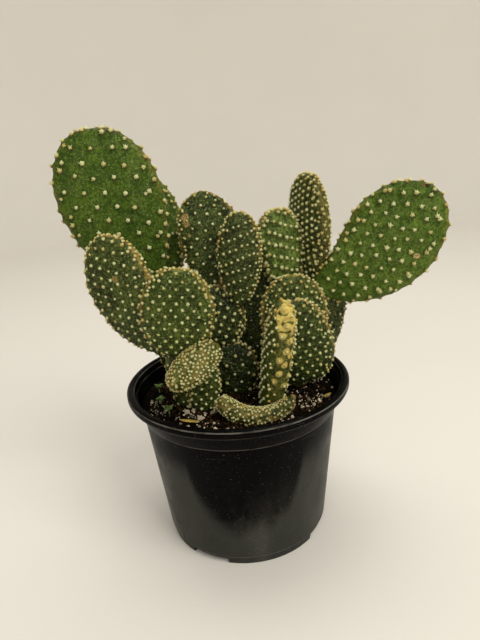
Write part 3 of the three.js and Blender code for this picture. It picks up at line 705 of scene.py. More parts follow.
# Healed scars, scratches and dark nicks, as pad, centre, radius and colour.
MARKS = [
    ("left_tall", (-90.4, 5.7, 244.4), 1.3, SCRATCH),
    ("left_tall", (-92.6, 5.7, 246.9), 0.9, FAINT_SCRATCH),
    # These two scars are painted paler as light on the shaded side of the pad.
    ("centre_tall", (-27.8, 6.6, 238.6), 2.8, LIT_SCAB),
    ("centre_tall", (-26.9, 5.8, 234.4), 2.5, LIT_SCAB),
    ("centre_tall", (-25.5, 4.8, 226.5), 1.4, CORK),
    ("centre_tall", (-7.0, 2.5, 190.4), 2.4, RUST),
    ("left_low", (-72.4, -34.0, 208.0), 2.6, CORK),
    ("left_low", (-78.0, -30.0, 196.3), 1.4, NICK),
    ("left_low", (-85.9, -27.2, 202.8), 1.6, RUST),
    ("right_large", (125.7, -19.8, 204.7), 2.1, FLAKE),
    ("right_large", (131.5, -20.0, 250.1), 1.9, NICK),
    ("right_large", (127.9, -19.2, 250.5), 1.3, RUST),
    ("left_round", (-44.0, -41.3, 184.2), 1.3, RUST),
]


def green_flesh(made, pad, near_tuft):
    """Two greens in soft blotches with paler streaks and dark mottling, fine dry creases, a bloom
    of pale flecks, and a ring of painted shade round each tuft."""
    skin, shade = np.array(pad["skin"]) * FLESH_TINT, np.array(pad["shade"]) * FLESH_TINT
    smooth = pad["gap"] > SPARSE_GAP
    blotch = made.ramp(made.noise(95.0, 4.0), 0.36, 0.66)
    colour = made.mix(blotch, shade, skin)
    streak = made.ramp(made.noise(320.0, 2.0), 0.45, 0.75, 0.0, 0.4)
    colour = made.mix(streak, colour, 1.25 * skin)
    mottle = made.ramp(made.noise(560.0, 4.0, 0.7), 0.58, 0.43, 0.0, 0.6 if smooth else 0.8)
    colour = made.mix(mottle, colour, 0.5 * shade)
    crease = made.maths("SUBTRACT", made.noise(150.0, 4.0, 0.65), 0.5)
    crease = made.ramp(made.maths("ABSOLUTE", crease), 0.014, 0.004)
    crease = made.product(crease, made.ramp(made.noise(60.0), 0.45, 0.6, 0.0, 0.4))
    colour = made.mix(crease, colour, DRY_CREASE)
    fleck = made.ramp(made.noise(850.0, 2.0), 0.57, 0.7, 0.0, 0.5 if smooth else 0.75)
    colour = made.mix(fleck, colour, BLOOM)
    # Painted shade: the flesh darkens round each tuft.
    return made.mix(made.ramp(near_tuft, 0.5, 0.95, 0.0, 0.6), colour, 0.6 * shade)


def yellow_patches(made, near_tuft, yellow):
    """How far the flesh is yellow, and the yellow itself. It lies on the side that faces the
    viewer: on the swellings under the tufts, and all over near the tip but for dark folds."""
    along = made.attribute("along")
    side = made.maths("MULTIPLY_ADD", made.attribute("across"), 0.3, made.attribute("rear"))
    side = made.maths("MULTIPLY_ADD", made.noise(120.0), 1.1, side)
    side = made.maths("MULTIPLY_ADD", made.noise(420.0), 0.6, side)
    side = made.maths("MULTIPLY_ADD", made.ramp(along, 0.75, 0.95), 0.6, side)
    warp = made.product(made.noise(120.0), 9.0)
    fold = made.maths("SINE", made.maths("MULTIPLY_ADD", along, 105.0, warp))
    crown = made.ramp(along, 0.74, 0.92, 0.0, 0.45)
    crown = made.product(crown, made.ramp(fold, -0.7, 0.2, 0.15))
    swell = made.maths("MULTIPLY_ADD", made.noise(260.0), 0.4, near_tuft)
    swell = made.ramp(made.maths("ADD", swell, crown), 0.32, 0.6)
    share = made.product(made.ramp(side, 0.5, 0.8), made.ramp(along, 0.3, 0.45), swell)
    tone = made.ramp(made.noise(300.0), 0.4, 0.6)
    return share, made.mix(tone, dimmed(yellow, 0.82), yellow)


def tanned_edge(made, most):
    """How far the pad's edge is dry and tan: more towards the tip, in broken patches."""
    edge = made.ramp(made.attribute("margin"), 0.35, 0.9)
    older = made.ramp(made.attribute("along"), 0.35, 0.7, 0.1, most)
    return made.product(edge, older, made.ramp(made.noise(350.0), 0.35, 0.6))


def skin_finish(key, pad, settings):
    """A pad's flesh, with cork or a tanned edge over it and its own marks over those."""
    made = Finish(key + "_flesh")
    near_tuft = made.attribute("near_tuft")
    colour = green_flesh(made, pad, near_tuft)
    if key == "variegated":
        share, yellow = yellow_patches(made, near_tuft, settings.yellow)
        colour = made.mix(share, colour, yellow)
    if pad["slot"] == "pad_flesh_corky":
        bark = made.ramp(made.noise(170.0, 5.0), 0.47, 0.66, 0.0, 0.8)
        colour = made.mix(bark, colour, settings.cork)
    else:
        faint = pad["gap"] > SPARSE_GAP or key in ("variegated", "right_upright")
        colour = made.mix(tanned_edge(made, 0.2 if faint else 0.6), colour, EDGE_TAN)
    for centre, radius, tint in (mark[1:] for mark in MARKS if mark[0] == key):
        broken = made.ramp(made.noise(900.0, 3.0), 0.4, 0.55, 0.25)
        tinted = made.mix(made.noise(700.0), tint, dimmed(tint, 0.6))
        colour = made.mix(made.product(made.spot(centre, radius), broken), colour, tinted)
    flesh = {"Subsurface Weight": 0.04, "Subsurface Scale": 0.0015, "Specular IOR Level": 0.1}
    flesh["Subsurface Radius"] = (0.5, 1.0, 0.25)
    relief = made.maths("MULTIPLY_ADD", made.noise(900.0, 3.0), 0.35, made.noise(260.0, 4.0, 0.6))
    return made.finish(colour, made.uneven(240.0, 0.42, 0.62), relief, 0.0007, flesh)


def tuft_finish(name, settings, edge):
    """Bristle felt: brown where it meets the skin, as the felt's own colour and as painted shade,
    cream on top, golden on the pad's edge.
    """
    made = Finish(name)
    tone = made.attribute("tone")
    straw = made.ramp(tone, 0.2, 1.0, 0.0, 0.7)
    top = made.mix(straw, settings.felt, STRAW)
    golden = made.product(made.attribute("edge"), made.ramp(tone, 0.1, 0.9, 0.3, 0.9))
    top = made.mix(golden, top, edge)
    # A tuft turns brown towards its foot: partly the felt's own colour, partly painted shade.
    rise = made.ramp(made.attribute("height"), 0.12, 0.75)
    speck = made.product(rise, made.ramp(made.noise(2600.0), 0.25, 0.6, 0.78, 1.0))
    colour = made.mix(speck, settings.felt_base_and_shade, top)
    felt = {"Sheen Weight": 0.15, "Specular IOR Level": 0.25}
    return made.finish(colour, made.uneven(1800.0, 0.7, 0.95), made.noise(3000.0), 0.0002, felt)


HIGHLIGHT_LINE_HEIGHTS = (6.3, 101.0, 113.9, 118.6)  # heights of the pot's edges where thin pale lines are painted as highlights
# The grey of the floor's painted reflection on the pot's foot and low sides.
REFLECTION_GREY = (0.225, 0.23, 0.21)
REFLECTION_RISE = 19000.0  # the painted reflection's upper border rises by this times x^4, in metres
REFLECTION_LIMIT = 0.046  # but by no more than this


def plastic_finish(settings):
    """Black moulded plastic. A grey painted reflection of the floor covers the foot and climbs at
    the sides. Dusty clouds lie on the lower wall, paler towards the foot, with specks, fine
    scuffs round them and thin pale lines painted as highlights on the edges of the steps."""
    made = Finish("black_plastic")
    height = made.node("ShaderNodeSeparateXYZ", {0: made.place}, "Z")
    aside = made.node("ShaderNodeSeparateXYZ", {0: made.place}, "X")
    squared = made.product(aside, aside)
    # Painted reflection: a grey sheet over the foot, whose border climbs towards the sides, stands
    # for the floor reflected in the plastic.
    rise = made.maths("MINIMUM", made.product(squared, squared, REFLECTION_RISE), REFLECTION_LIMIT)
    floor_reflection = made.maths("SUBTRACT", height, rise)
    floor_reflection = made.maths("MULTIPLY_ADD", made.noise(45.0, 4.0), -0.022, floor_reflection)
    floor_reflection = made.ramp(floor_reflection, 0.034, 0.012, 0.0, 0.8)
    stretched = made.node("ShaderNodeMapping", {"Vector": made.place, "Scale": (1.0, 1.0, 0.3)})
    cloud = made.ramp(made.noise(30.0, 5.0, 0.62, stretched), 0.42, 0.72, 0.0, 0.5)
    grain = made.ramp(made.noise(600.0, 2.0), 0.5, 0.75, 0.35, 1.0)
    low = made.ramp(height, 0.085, 0.018, 0.03, 1.0)
    speck = made.ramp(made.noise(900.0, 1.0), 0.7, 0.77, 0.0, 0.5)
    dust_and_highlight = made.maths("MAXIMUM", made.product(cloud, grain, low), speck)
    level = made.node("ShaderNodeMapping", {"Vector": made.place, "Scale": (0.12, 0.12, 3.0)})
    scuff = made.ramp(made.noise(260.0, 3.0, 0.6, level), 0.64, 0.76, 0.0, 0.18)
    dust_and_highlight = made.maths("MAXIMUM", dust_and_highlight, scuff)
    broken = made.ramp(made.noise(80.0, 3.0), 0.35, 0.6, 0.25, 0.75)
    # Painted highlights: a thin pale line along each of these edges, merged with the specks and
    # scuffs.
    for line in HIGHLIGHT_LINE_HEIGHTS:
        away = made.maths("ABSOLUTE", made.maths("SUBTRACT", height, line * MM))
        highlight_line = made.product(made.ramp(away, 0.0005, 0.0002), broken)
        dust_and_highlight = made.maths("MAXIMUM", dust_and_highlight, highlight_line)
    colour = made.mix(floor_reflection, settings.plastic, REFLECTION_GREY)
    colour = made.mix(dust_and_highlight, colour, settings.dust_and_highlight)
    rough = made.maths("MULTIPLY_ADD", dust_and_highlight, 0.4, made.uneven(60.0, 0.24, 0.4, 4.0))
    return made.finish(colour, rough, made.noise(420.0, 3.0), 0.00005, {"Specular IOR Level": 0.03})


DRY_FIBRE = (0.50, 0.42, 0.32)
SEEDLING_GREENS = ((0.42, 0.52, 0.19), (0.22, 0.33, 0.10))  # light and deep
FALLEN_YELLOWS = ((0.74, 0.66, 0.30), (0.55, 0.42, 0.16))


def soil_finish(settings):
    """Damp black mix with drier brown crumbs on its high places."""
    made = Finish("potting_mix")
    crumb = made.ramp(made.noise(260.0, 6.0, 0.65), 0.4, 0.7)
    colour = made.mix(crumb, settings.damp, settings.dry)
    fleck = made.ramp(made.noise(1300.0, 2.0), 0.68, 0.76, 0.0, 0.8)
    colour = made.mix(fleck, colour, DRY_FIBRE)
    rough = made.uneven(500.0, 0.8, 1.0)
    return made.finish(colour, rough, made.noise(1100.0, 6.0), 0.0009, {"Specular IOR Level": 0.03})


def grit_finish(name, pale, deep):
    """Small stones or chips, each with its own tone between two colours, and pitted."""
    made = Finish(name)
    colour = made.mix(made.attribute("tone"), deep, pale)
    pit = made.ramp(made.noise(1500.0, 3.0), 0.52, 0.7, 0.0, 0.55)
    colour = made.mix(pit, colour, dimmed(deep, 0.55))
    rough = made.uneven(900.0, 0.75, 0.98)
    return made.finish(colour, rough, made.noise(2200.0, 4.0), 0.0003, {"Specular IOR Level": 0.08})


def leaf_finish(name, light, deep):
    """A thin leaf with soft blotches."""
    made = Finish(name)
    colour = made.mix(made.ramp(made.noise(500.0, 3.0), 0.35, 0.65), deep, light)
    thin = {"Subsurface Weight": 0.1, "Subsurface Scale": 0.001}
    return made.finish(colour, made.uneven(700.0, 0.45, 0.65), made.noise(1500.0), 0.0001, thin)


def floor_finish(colour):
    """A plain pale floor with the faintest unevenness."""
    made = Finish("pale_floor")
    faint = made.uneven(3.0, 0.0, 0.12)
    tone = made.mix(faint, colour, dimmed(colour, 0.94))
    return made.finish(tone, made.uneven(8.0, 0.7, 0.8))


def dress(piece, material, slot, *nodes):
    """Gives a piece its material and body, and hides the imported nodes it stands for. The record
    slot is not used.
    """
    piece.data.materials.append(material)
    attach(piece, "root")
    if nodes:
        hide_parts(*nodes)
    return piece


# ---------------------------------------------------------------- the pot


def pot_profile(s):
    """Radius and height of the shell in millimetres: underside, feet, wall, collar and rolled
    rim, then down inside to the middle of the floor."""
    rim, mouth, top = s.rim_radius / MM, s.mouth_radius / MM, s.height / MM
    collar, shoulder, base = s.collar_height / MM, s.shoulder_radius / MM, s.base_radius / MM
    wall = s.wall / MM
    at = lambda z: base + (shoulder - base) * z / collar
    foot, floor, centre, bend = 5.5, 3.0, 14.0, 76.0
    return [
        (0.5, 0.0), (centre, 0.0), (centre + 6, floor), (base - 7.1, floor), (base - 6.5, 0.0),
        (base, 0.0), (at(foot), foot), (at(foot) + 0.6, foot + 0.6), (shoulder, collar),
        (shoulder + 1.2, collar + 0.8), (bend, collar + 7.5), (bend + 2, top - 7),
        (rim - 0.8, top - 6.2), (rim, top - 4.6), (rim, top - 1.6), (rim - 1.6, top),
        (mouth + 1.6, top), (mouth, top - 1.6), (bend - wall, collar + 7.5),
        (shoulder + 1.2 - wall, collar), (at(floor + 6) - wall, floor + 6),
        (at(floor + 2) - wall - 4, floor + 2), (centre + 6, floor + 2), (centre, 2.0), (0.5, 2.0),
    ]


CORNER_CUT = 0.55  # how far each corner of the pot's section is rounded off
SHARP_EDGE = math.radians(38)  # edges of the pot that turn by more than this are shaded sharp
NOTCH_MIDDLES = np.radians([240.5, 330.5, 60.5, 150.5])
NOTCH_HALF = math.radians(13.5)
NOTCH_HEIGHT = 3.6
NOTCH_STEP = 0.004  # half the width of a notch's steep side, in radians round the pot
FOOT_INSIDE = 50  # radius inside which the underside isn't notched
DRAIN_CIRCLE = 40.0
DRAIN_COUNT = 6
DRILL_ENDS = (-3, 12)  # heights between which a drain hole is drilled


def notched(points, angles):
    """The turned pot's points, with the foot ring lifted at the notches."""
    off = np.abs((angles[:, None] - NOTCH_MIDDLES + math.pi) % TWO_PI - math.pi).min(1)
    outer = np.hypot(points[..., 0], points[..., 1]) > FOOT_INSIDE
    lifted = (off < NOTCH_HALF) & outer & (points[..., 2] < NOTCH_HEIGHT)
    points[..., 2] = np.where(lifted, NOTCH_HEIGHT, points[..., 2])
    return points


def drilled(pot, radius, context):
    """The pot's mesh with the drain holes cut through its floor."""
    cutters = []
    for middle in (np.arange(DRAIN_COUNT) + 0.5) * TWO_PI / DRAIN_COUNT:
        outline = [(radius, height) for height in DRILL_ENDS]
        drill = turned(outline, np.linspace(0, TWO_PI, 32, endpoint=False))
        drill += np.array([DRAIN_CIRCLE * math.cos(middle), DRAIN_CIRCLE * math.sin(middle), 0])
        ends = drill.mean(1)
        cutter = new_object("drill", *closed_grid(drill, ends[0], ends[1]))
        cut = pot.modifiers.new("drain", "BOOLEAN")
        cut.object, cut.operation, cut.solver = cutter, "DIFFERENCE", "EXACT"
        cutters.append(cutter)
    shaped = pot.evaluated_get(context.evaluated_depsgraph_get())
    mesh = bpy.data.meshes.new_from_object(shaped)
    pot.modifiers.clear()
    for cutter in cutters:
        bpy.data.objects.remove(cutter)
    return mesh


class CACTUS_OT_pot(bpy.types.Operator):
    """Turn the black nursery pot, lift its foot ring at four notches and drill its floor"""

    bl_idname = "cactus.pot"
    bl_label = "Build Pot"

    def execute(self, context):
        settings = context.scene.cactus_pot
        borders = np.concatenate([NOTCH_MIDDLES - NOTCH_HALF, NOTCH_MIDDLES + NOTCH_HALF])
        tight = np.concatenate([borders - NOTCH_STEP, borders + NOTCH_STEP])
        angles = np.concatenate([np.linspace(0, TWO_PI, 180, endpoint=False), tight % TWO_PI])
        angles = np.unique(np.round(angles, 6))
        points = notched(turned(rounded(pot_profile(settings), CORNER_CUT), angles), angles)
        pot = new_object("nursery_pot", *closed_grid(points, (0, 0, 0), (0, 0, 2)))
        pot.data = drilled(pot, settings.drain_radius / MM, context)
        pot.data.set_sharp_from_angle(angle=SHARP_EDGE)
        dress(pot, plastic_finish(settings), "pot_plastic", "pot")
        return {"FINISHED"}


# ---------------------------------------------------------------- the soil


def soil_height(distance):
    """Height of the mounded soil at a distance from the pot's axis, in millimetres."""
    return SOIL_EDGE_Z + SOIL_MOUND * (1 - (distance / SOIL_EDGE_RADIUS) ** 2)


class CACTUS_OT_soil(bpy.types.Operator):
    """Fill the pot with a rough, crumbly mound of soil"""

    bl_idname = "cactus.soil"
    bl_label = "Build Soil"

    def execute(self, context):
        settings = context.scene.cactus_soil
        angles = np.linspace(0, TWO_PI, 220, endpoint=False)
        buried = [
            (1, SOIL_FLOOR), (13.6, SOIL_FLOOR), (19.6, 2.6), (55, 5.4), (59.6, 9.2), (60.5, 12),
            (71.4, 100), (SOIL_REACH, 104),
        ]
        top = [(radius, soil_height(radius)) for radius in np.linspace(SOIL_REACH, 0.9, 84)]
        points = turned(buried + top, angles)
        mound = points[len(buried):]
        calm = (SOIL_REACH - np.hypot(mound[..., 0], mound[..., 1])) / 3
        mound[..., 2] += ripples(mound, SOIL_WAVES, SOIL_SEED) * np.clip(calm, 0.25, 1)
        vertices, faces = closed_grid(points, (0, 0, SOIL_FLOOR), (0, 0, soil_height(0)))
        soil = new_object("potting_soil", vertices, faces)
        dress(soil, soil_finish(settings), "soil_mix", "soil")
        return {"FINISHED"}


ICOSAHEDRON_EDGE = 1.06  # a little over its edge, when its corners are 1 from the middle
STREWN_RADIUS = 70.0  # stones and chips are strewn within this of the pot's axis
PATCH_LIMIT = 71  # and the patches of grit end here
GRIT_SEED = 21
CHIP_SEED = 31


def scattered(name, places, sizes, flatness, seed):
    """Many small stones in one mesh: an icosahedron with its corners moved in or out at random,
    stretched, turned by a random matrix and set at each place."""
    random = np.random.default_rng(seed)
    golden = (1 + math.sqrt(5)) / 2
    base = np.array([[s, t * golden, 0] for s in (-1, 1) for t in (-1, 1)])
    points = np.concatenate([base, base[:, [2, 0, 1]], base[:, [1, 2, 0]]])
    points /= np.linalg.norm(points, axis=1)[:, None]
    beside = np.linalg.norm(points[:, None] - points[None], axis=-1) < ICOSAHEDRON_EDGE
    triples = [
        (i, j, k) for i, j, k in itertools.combinations(range(12), 3)
        if beside[i, j] and beside[j, k] and beside[i, k]
    ]
    outward = lambda i, j, k: np.linalg.det(points[[i, j, k]]) > 0
    faces = [triple if outward(*triple) else triple[::-1] for triple in triples]
    count = len(places)
    shapes = points[None] * random.uniform(0.72, 1.12, (count, 12, 1))
    lengths, widths = random.uniform(0.8, 1.35, count), random.uniform(0.65, 1.0, count)
    shapes = shapes * np.stack([lengths, widths, np.full(count, flatness)], -1)[:, None]
    axes = np.linalg.qr(random.normal(size=(count, 3, 3)))[0]
    axes *= np.sign(np.linalg.det(axes))[:, None, None]
    placed = np.einsum("nvk,nkx->nvx", shapes, axes) * sizes[:, None, None] + places[:, None]
    every = (np.arange(count)[:, None, None] * 12 + np.array(faces)[None]).reshape(-1, 3).tolist()
    tone = np.repeat(random.uniform(0, 1, count), 12)
    return new_object(name, placed.reshape(-1, 3), every, {"tone": tone}, smooth=False)


def soil_places(count, seed, clump):
    """Random places on the soil, kept where a slow ripple is above the clump level."""
    random = np.random.default_rng(seed)
    angle = random.uniform(0, TWO_PI, count * 4)
    distance = STREWN_RADIUS * np.sqrt(random.uniform(0, 1, count * 4))
    x, y = distance * np.cos(angle), distance * np.sin(angle)
    places = np.stack([x, y, soil_height(distance)], -1)
    kept = places[ripple(places, 30, seed + 1) > clump][:count]
    kept[:, 2] += ripples(kept, SOIL_WAVES[:2], SOIL_SEED)
    return kept, random


# Where grit lies thickest: x, y, spread and number of stones.
GRIT_PATCHES = np.array([(-30, -50, 9, 45), (54, -27, 10, 40), (62, 0, 8, 15), (-62, -20, 7, 10)])
# The larger stones: x, y, z and radius.
PEBBLES = np.array([
    (-36.2, -21.0, 107.8, 2.4), (-37.5, -30.5, 107.8, 2.9), (-28.1, -40.0, 107.6, 2.7),
    (-19.2, -34.5, 107.8, 2.3), (-32.5, -27.0, 107.8, 2.0), (-17.5, -55.0, 107.0, 1.8),
    (60.0, -20.0, 106.8, 2.2), (52.0, -33.0, 107.2, 1.9), (57.0, -27.0, 106.8, 2.4),
    (-2.0, -60.0, 106.8, 1.7),
])


class CACTUS_OT_grit(bpy.types.Operator):
    """Scatter pale grit, larger pebbles and dark bark chips over the soil"""

    bl_idname = "cactus.grit"
    bl_label = "Scatter Grit"

    def execute(self, context):
        settings = context.scene.cactus_soil
        pale = grit_finish("pale_grit", settings.grit, dimmed(settings.grit, 0.52))
        bark = grit_finish("bark", settings.chip, dimmed(settings.chip, 0.22))
        places, random = soil_places(settings.grit_count, GRIT_SEED, 0.0)
        x, y, spread, _ = np.repeat(GRIT_PATCHES, GRIT_PATCHES[:, 3].astype(int), axis=0).T
        patch = random.normal(size=(len(x), 2)) * spread[:, None] + np.stack([x, y], -1)
        distance = np.hypot(*patch.T)
        patch = np.column_stack([patch, soil_height(distance) + 0.3])[distance < PATCH_LIMIT]
        places = np.concatenate([places, patch])
        sizes = 0.35 + 1.35 * random.uniform(0, 1, len(places)) ** 2.2
        dress(scattered("grit", places, sizes, 0.8, GRIT_SEED + 1), pale, "soil_mix")
        places, random = soil_places(settings.chip_count, CHIP_SEED, -0.4)
        sizes = random.uniform(0.6, 2.1, len(places))
        dress(scattered("bark_chips", places, sizes, 0.32, CHIP_SEED + 1), bark, "soil_mix")
        pebbles = scattered("pebbles", PEBBLES[:, :3], PEBBLES[:, 3], 0.8, CHIP_SEED + 2)
        dress(pebbles, pale, "soil_mix")
        return {"FINISHED"}


def leaf_points(length, width, thickness, fold, droop):
    """A lens-shaped leaf along +X: half width and half thickness follow sqrt(sin(pi u)), the
    sides lift by fold |y| and the blade sinks by droop u^2."""
    u = (1 - np.cos(np.linspace(0, math.pi, 14)[1:-1])) / 2
    angle = np.linspace(0, TWO_PI, 16, endpoint=False)
    u, angle = np.meshgrid(u, angle, indexing="ij")
    swell = np.sqrt(np.sin(math.pi * u))
    y = width / 2 * swell * np.cos(angle)
    z = thickness / 2 * swell * np.sin(angle) + fold * np.abs(y) - droop * u**2
    return closed_grid(np.stack([u * length, y, z], -1), (0, 0, 0), (length, 0, -droop))


def placed_leaf(leaf, rise, turn, place):
    """A leaf's points lifted by rise degrees, turned about Z and moved to its place."""
    spin = Matrix.Rotation(math.radians(turn), 3, "Z") @ Matrix.Rotation(math.radians(-rise), 3, "Y")
    return leaf @ np.array(spin).T + np.array(place, float)


def joined(parts):
    """Several (points, faces) as one."""
    points, faces, count = [], [], 0
    for part_points, part_faces in parts:
        points.append(part_points)
        faces += [[count + i for i in face] for face in part_faces]
        count += len(part_points)
    return np.concatenate(points), faces


STEM_ROOT = 4  # how deep a seedling's stem reaches into the soil
SEEDLING_LEAVES = 6
LEAF_TURN = 137.5  # from one leaf to the next round the stem, in degrees


class CACTUS_OT_seedlings(bpy.types.Operator):
    """Raise the small green seedlings and lay two fallen yellow leaves on the soil"""

    bl_idname = "cactus.seedlings"
    bl_label = "Build Seedlings"

    def execute(self, context):
        green = leaf_finish("seedling_green", *SEEDLING_GREENS)
        for name, seedling in SEEDLINGS.items():
            x, y = seedling["place"]
            ground, height = soil_height(math.hypot(x, y)), seedling["height"]
            outline = [(0.55, ground - STEM_ROOT), (0.4, ground + height)]
            stem = turned(outline, np.linspace(0, TWO_PI, 10, endpoint=False))
            stem += np.array([x, y, 0])
            ends = stem.mean(1)
            parts = [closed_grid(stem, ends[0], ends[1])]
            for leaf in range(SEEDLING_LEAVES):
                points, faces = leaf_points(3.6 + 0.35 * (leaf % 3), 2.5, 0.5, 0.25, 0.5)
                level = (x, y, ground + height - 0.5 * leaf)
                turn = seedling["turn"] + leaf * LEAF_TURN
                parts.append((placed_leaf(points, 22 + 4 * leaf, turn, level), faces))
            piece = new_object("seedling_" + name + "_leaves", *joined(parts))
            dress(piece, green, "seedling_leaf", "seedling_" + name)
        dead = leaf_finish("fallen_leaf", *FALLEN_YELLOWS)
        long_leaf, long_faces = leaf_points(15, 3.6, 0.6, -0.12, 0.6)
        short_leaf, short_faces = leaf_points(8, 3.0, 0.6, -0.1, 0.4)
        parts = [
            (placed_leaf(long_leaf, 3, -22, (-42, -40, 107.9)), long_faces),
            (placed_leaf(short_leaf, 4, 40, (61, -23, 107.6)), short_faces),
        ]
        dress(new_object("fallen_leaves", *joined(parts)), dead, "soil_mix")
        return {"FINISHED"}


# ---------------------------------------------------------------- the plant


class CACTUS_OT_pads(bpy.types.Operator):
    """Grow every pad's skin, and the tufts of bristles that stand on it"""

    bl_idname = "cactus.pads"
    bl_label = "Grow Pads"

    def execute(self, context):
        settings = context.scene.cactus_pads
        felt = tuft_finish("bristle_felt", settings, settings.felt_edge)
        amber = tuft_finish("amber_felt", settings, AMBER)
        random = np.random.default_rng(PAD_SEED)
        for key, pad in PADS.items():
            t, angle, edge = areole_places(pad, random)
            centres = pad_surface(pad, t, angle)
            normals = pad_normals(pad, t, angle)
            swelling = settings.tubercle_height / MM * pad["tuft"]
            skin = skin_piece(key, pad, centres, swelling)
            dress(skin, skin_finish(key, pad, settings), pad["slot"], "pad_" + key)
            seats = centres + normals * (swelling * end_fade(t) - TUFT_SINK)[:, None]
            # Past t = 0.999 the step below leaves the pad and has no value, so the few tufts at
            # the very tip shrink to a point at the origin.
            upward = pad_surface(pad, t + 1e-3, angle) - centres
            upward /= np.linalg.norm(upward, axis=1)[:, None]
            axes = normals + TUFT_TILT * upward
            axes /= np.linalg.norm(axes, axis=1)[:, None]
            tufts = tuft_piece(key, pad, seats, axes, edge, settings.tuft_radius / MM, random)
            dress(tufts, amber if key == "variegated" else felt, pad["slot"])
        return {"FINISHED"}


# ---------------------------------------------------------------- the stage


def area_light(name, place, target, size, power, colour):
    """A square soft light at a place, aimed at a target."""
    light = bpy.data.lights.new(name, "AREA")
    light.shape, light.size, light.energy, light.color = "SQUARE", size, power, colour
    lamp = bpy.data.objects.new(name, light)
    lamp.location = place
    lamp.rotation_euler = (Vector(target) - Vector(place)).to_track_quat("-Z", "Y").to_euler()
    bpy.context.scene.collection.objects.link(lamp)


FLOOR_FLAT = 1500  # radius where the floor starts to curve up
FLOOR_BEND = 700  # radius of that curve
LIGHT_TARGET = (0.0, 0.0, 0.17)
CAMERA_PLACE = (0.0, -0.3509, 0.2790)
CAMERA_YAW, CAMERA_PITCH, CAMERA_ROLL = (math.radians(a) for a in (0.815, 18.288, -4.2955))
CAMERA_LENS = 28.54


def lay_floor(colour):
    """The pale floor, which curves up into a wall all round."""
    bend = np.linspace(0, math.pi / 2, 24)
    curve = [
        (FLOOR_FLAT + FLOOR_BEND * math.sin(a), FLOOR_BEND - FLOOR_BEND * math.cos(a))
        for a in bend
    ]
    wall = FLOOR_FLAT + FLOOR_BEND
    profile = [(20, 0), (400, 0), (900, 0), *curve, (wall, 1300), (wall, 1900)]
    rings = turned(profile, np.linspace(0, TWO_PI, 96, endpoint=False))[::-1]
    points = np.concatenate([rings.reshape(-1, 3), [(0, 0, 0)]])
    rows, columns = rings.shape[:2]
    last, middle = (rows - 1) * columns, rows * columns
    centre = [[middle, last + i, last + (i + 1) % columns] for i in range(columns)]
    floor = new_object("floor", points, grid_faces(rows, columns) + centre)
    floor.data.materials.append(floor_finish(colour))


def set_lights(settings, scene):
    """Soft lights on the plant and on the wall behind it, and an even light all round."""
    key, fill = settings.key_power, settings.fill_power
    area_light("key", (0.75, -0.85, 1.35), LIGHT_TARGET, 0.9, key, (1.0, 0.975, 0.93))
    area_light("fill", (-0.2, -1.3, 0.85), LIGHT_TARGET, 0.9, fill, (0.95, 0.97, 1.0))
    area_light("top", (-0.1, 0.35, 1.6), LIGHT_TARGET, 1.0, key * 0.5, (1.0, 0.985, 0.95))
    for side in (-1, 1):
        place, aim = (side * 0.9, 0.7, 1.5), (side * 0.7, 2.2, 0.5)
        area_light("wall", place, aim, 0.7, settings.wall_power, (1.0, 0.98, 0.94))
    world = bpy.data.worlds.new("even_light")
    world.use_nodes = True
    background = world.node_tree.nodes["Background"]
    background.inputs["Color"].default_value = (1.0, 0.985, 0.955, 1.0)
    background.inputs["Strength"].default_value = settings.sky
    scene.world = world
    scene.view_settings.view_transform = "Standard"


def set_camera(scene):
    """A camera at its place, turned by its yaw, its pitch downwards and its roll."""
    level = math.cos(CAMERA_PITCH)
    aim = Vector((
        math.sin(CAMERA_YAW) * level, math.cos(CAMERA_YAW) * level, -math.sin(CAMERA_PITCH)
    ))
    right = aim.cross(Vector((0, 0, 1))).normalized()
    up = right.cross(aim)
    tilted_right = math.cos(CAMERA_ROLL) * right + math.sin(CAMERA_ROLL) * up
    tilted_up = math.cos(CAMERA_ROLL) * up - math.sin(CAMERA_ROLL) * right
    lens = bpy.data.cameras.new("camera")
    lens.lens, lens.sensor_width = CAMERA_LENS, 36.0
    lens.clip_start = 0.01
    camera = bpy.data.objects.new("camera", lens)
    rotation = Matrix((tilted_right, tilted_up, -aim)).transposed()
    camera.matrix_world = Matrix.Translation(CAMERA_PLACE) @ rotation.to_4x4()
    scene.collection.objects.link(camera)
    scene.camera = camera


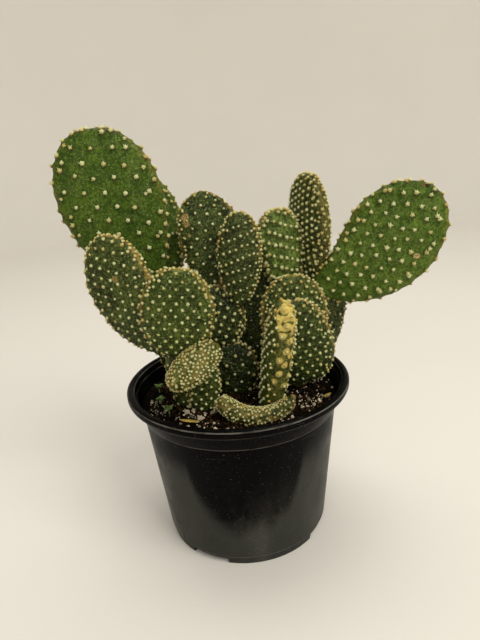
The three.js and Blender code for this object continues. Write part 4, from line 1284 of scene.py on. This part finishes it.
class CACTUS_OT_stage(bpy.types.Operator):
    """Lay the pale floor that curves up all round, and set the lights and the camera"""

    bl_idname = "cactus.stage"
    bl_label = "Build Stage"

    def execute(self, context):
        settings = context.scene.cactus_stage
        lay_floor(settings.floor)
        set_lights(settings, context.scene)
        set_camera(context.scene)
        return {"FINISHED"}


# ---------------------------------------------------------------- add-on


class CACTUS_PT_sidebar(bpy.types.Panel):
    """Lists the cactus's settings and the steps that build it"""

    bl_label = "Potted Paddle Cactus"
    bl_idname = "CACTUS_PT_sidebar"
    bl_space_type = "VIEW_3D"
    bl_region_type = "UI"
    bl_category = "Cactus"

    def draw(self, context):
        for group in SETTINGS:
            box = self.layout.box()
            settings = getattr(context.scene, group)
            for name in settings.__annotations__:
                box.prop(settings, name)
        for operator in OPERATORS:
            self.layout.operator(operator.bl_idname)


SETTINGS = {
    "cactus_pot": CactusPotSettings,
    "cactus_soil": CactusSoilSettings,
    "cactus_pads": CactusPadSettings,
    "cactus_stage": CactusStageSettings,
}
OPERATORS = (
    CACTUS_OT_stage,
    CACTUS_OT_pot,
    CACTUS_OT_soil,
    CACTUS_OT_grit,
    CACTUS_OT_seedlings,
    CACTUS_OT_pads,
)


def register():
    for group in SETTINGS.values():
        bpy.utils.register_class(group)
    for name, group in SETTINGS.items():
        setattr(bpy.types.Scene, name, bpy.props.PointerProperty(type=group))
    for operator in OPERATORS:
        bpy.utils.register_class(operator)
    bpy.utils.register_class(CACTUS_PT_sidebar)


def unregister():
    bpy.utils.unregister_class(CACTUS_PT_sidebar)
    for operator in reversed(OPERATORS):
        bpy.utils.unregister_class(operator)
    for name in SETTINGS:
        delattr(bpy.types.Scene, name)
    for group in reversed(SETTINGS.values()):
        bpy.utils.unregister_class(group)


def main():
    register()
    bpy.ops.cactus.stage()
    bpy.ops.cactus.pot()
    bpy.ops.cactus.soil()
    bpy.ops.cactus.grit()
    bpy.ops.cactus.seedlings()
    bpy.ops.cactus.pads()


if __name__ == "__main__":
    main()
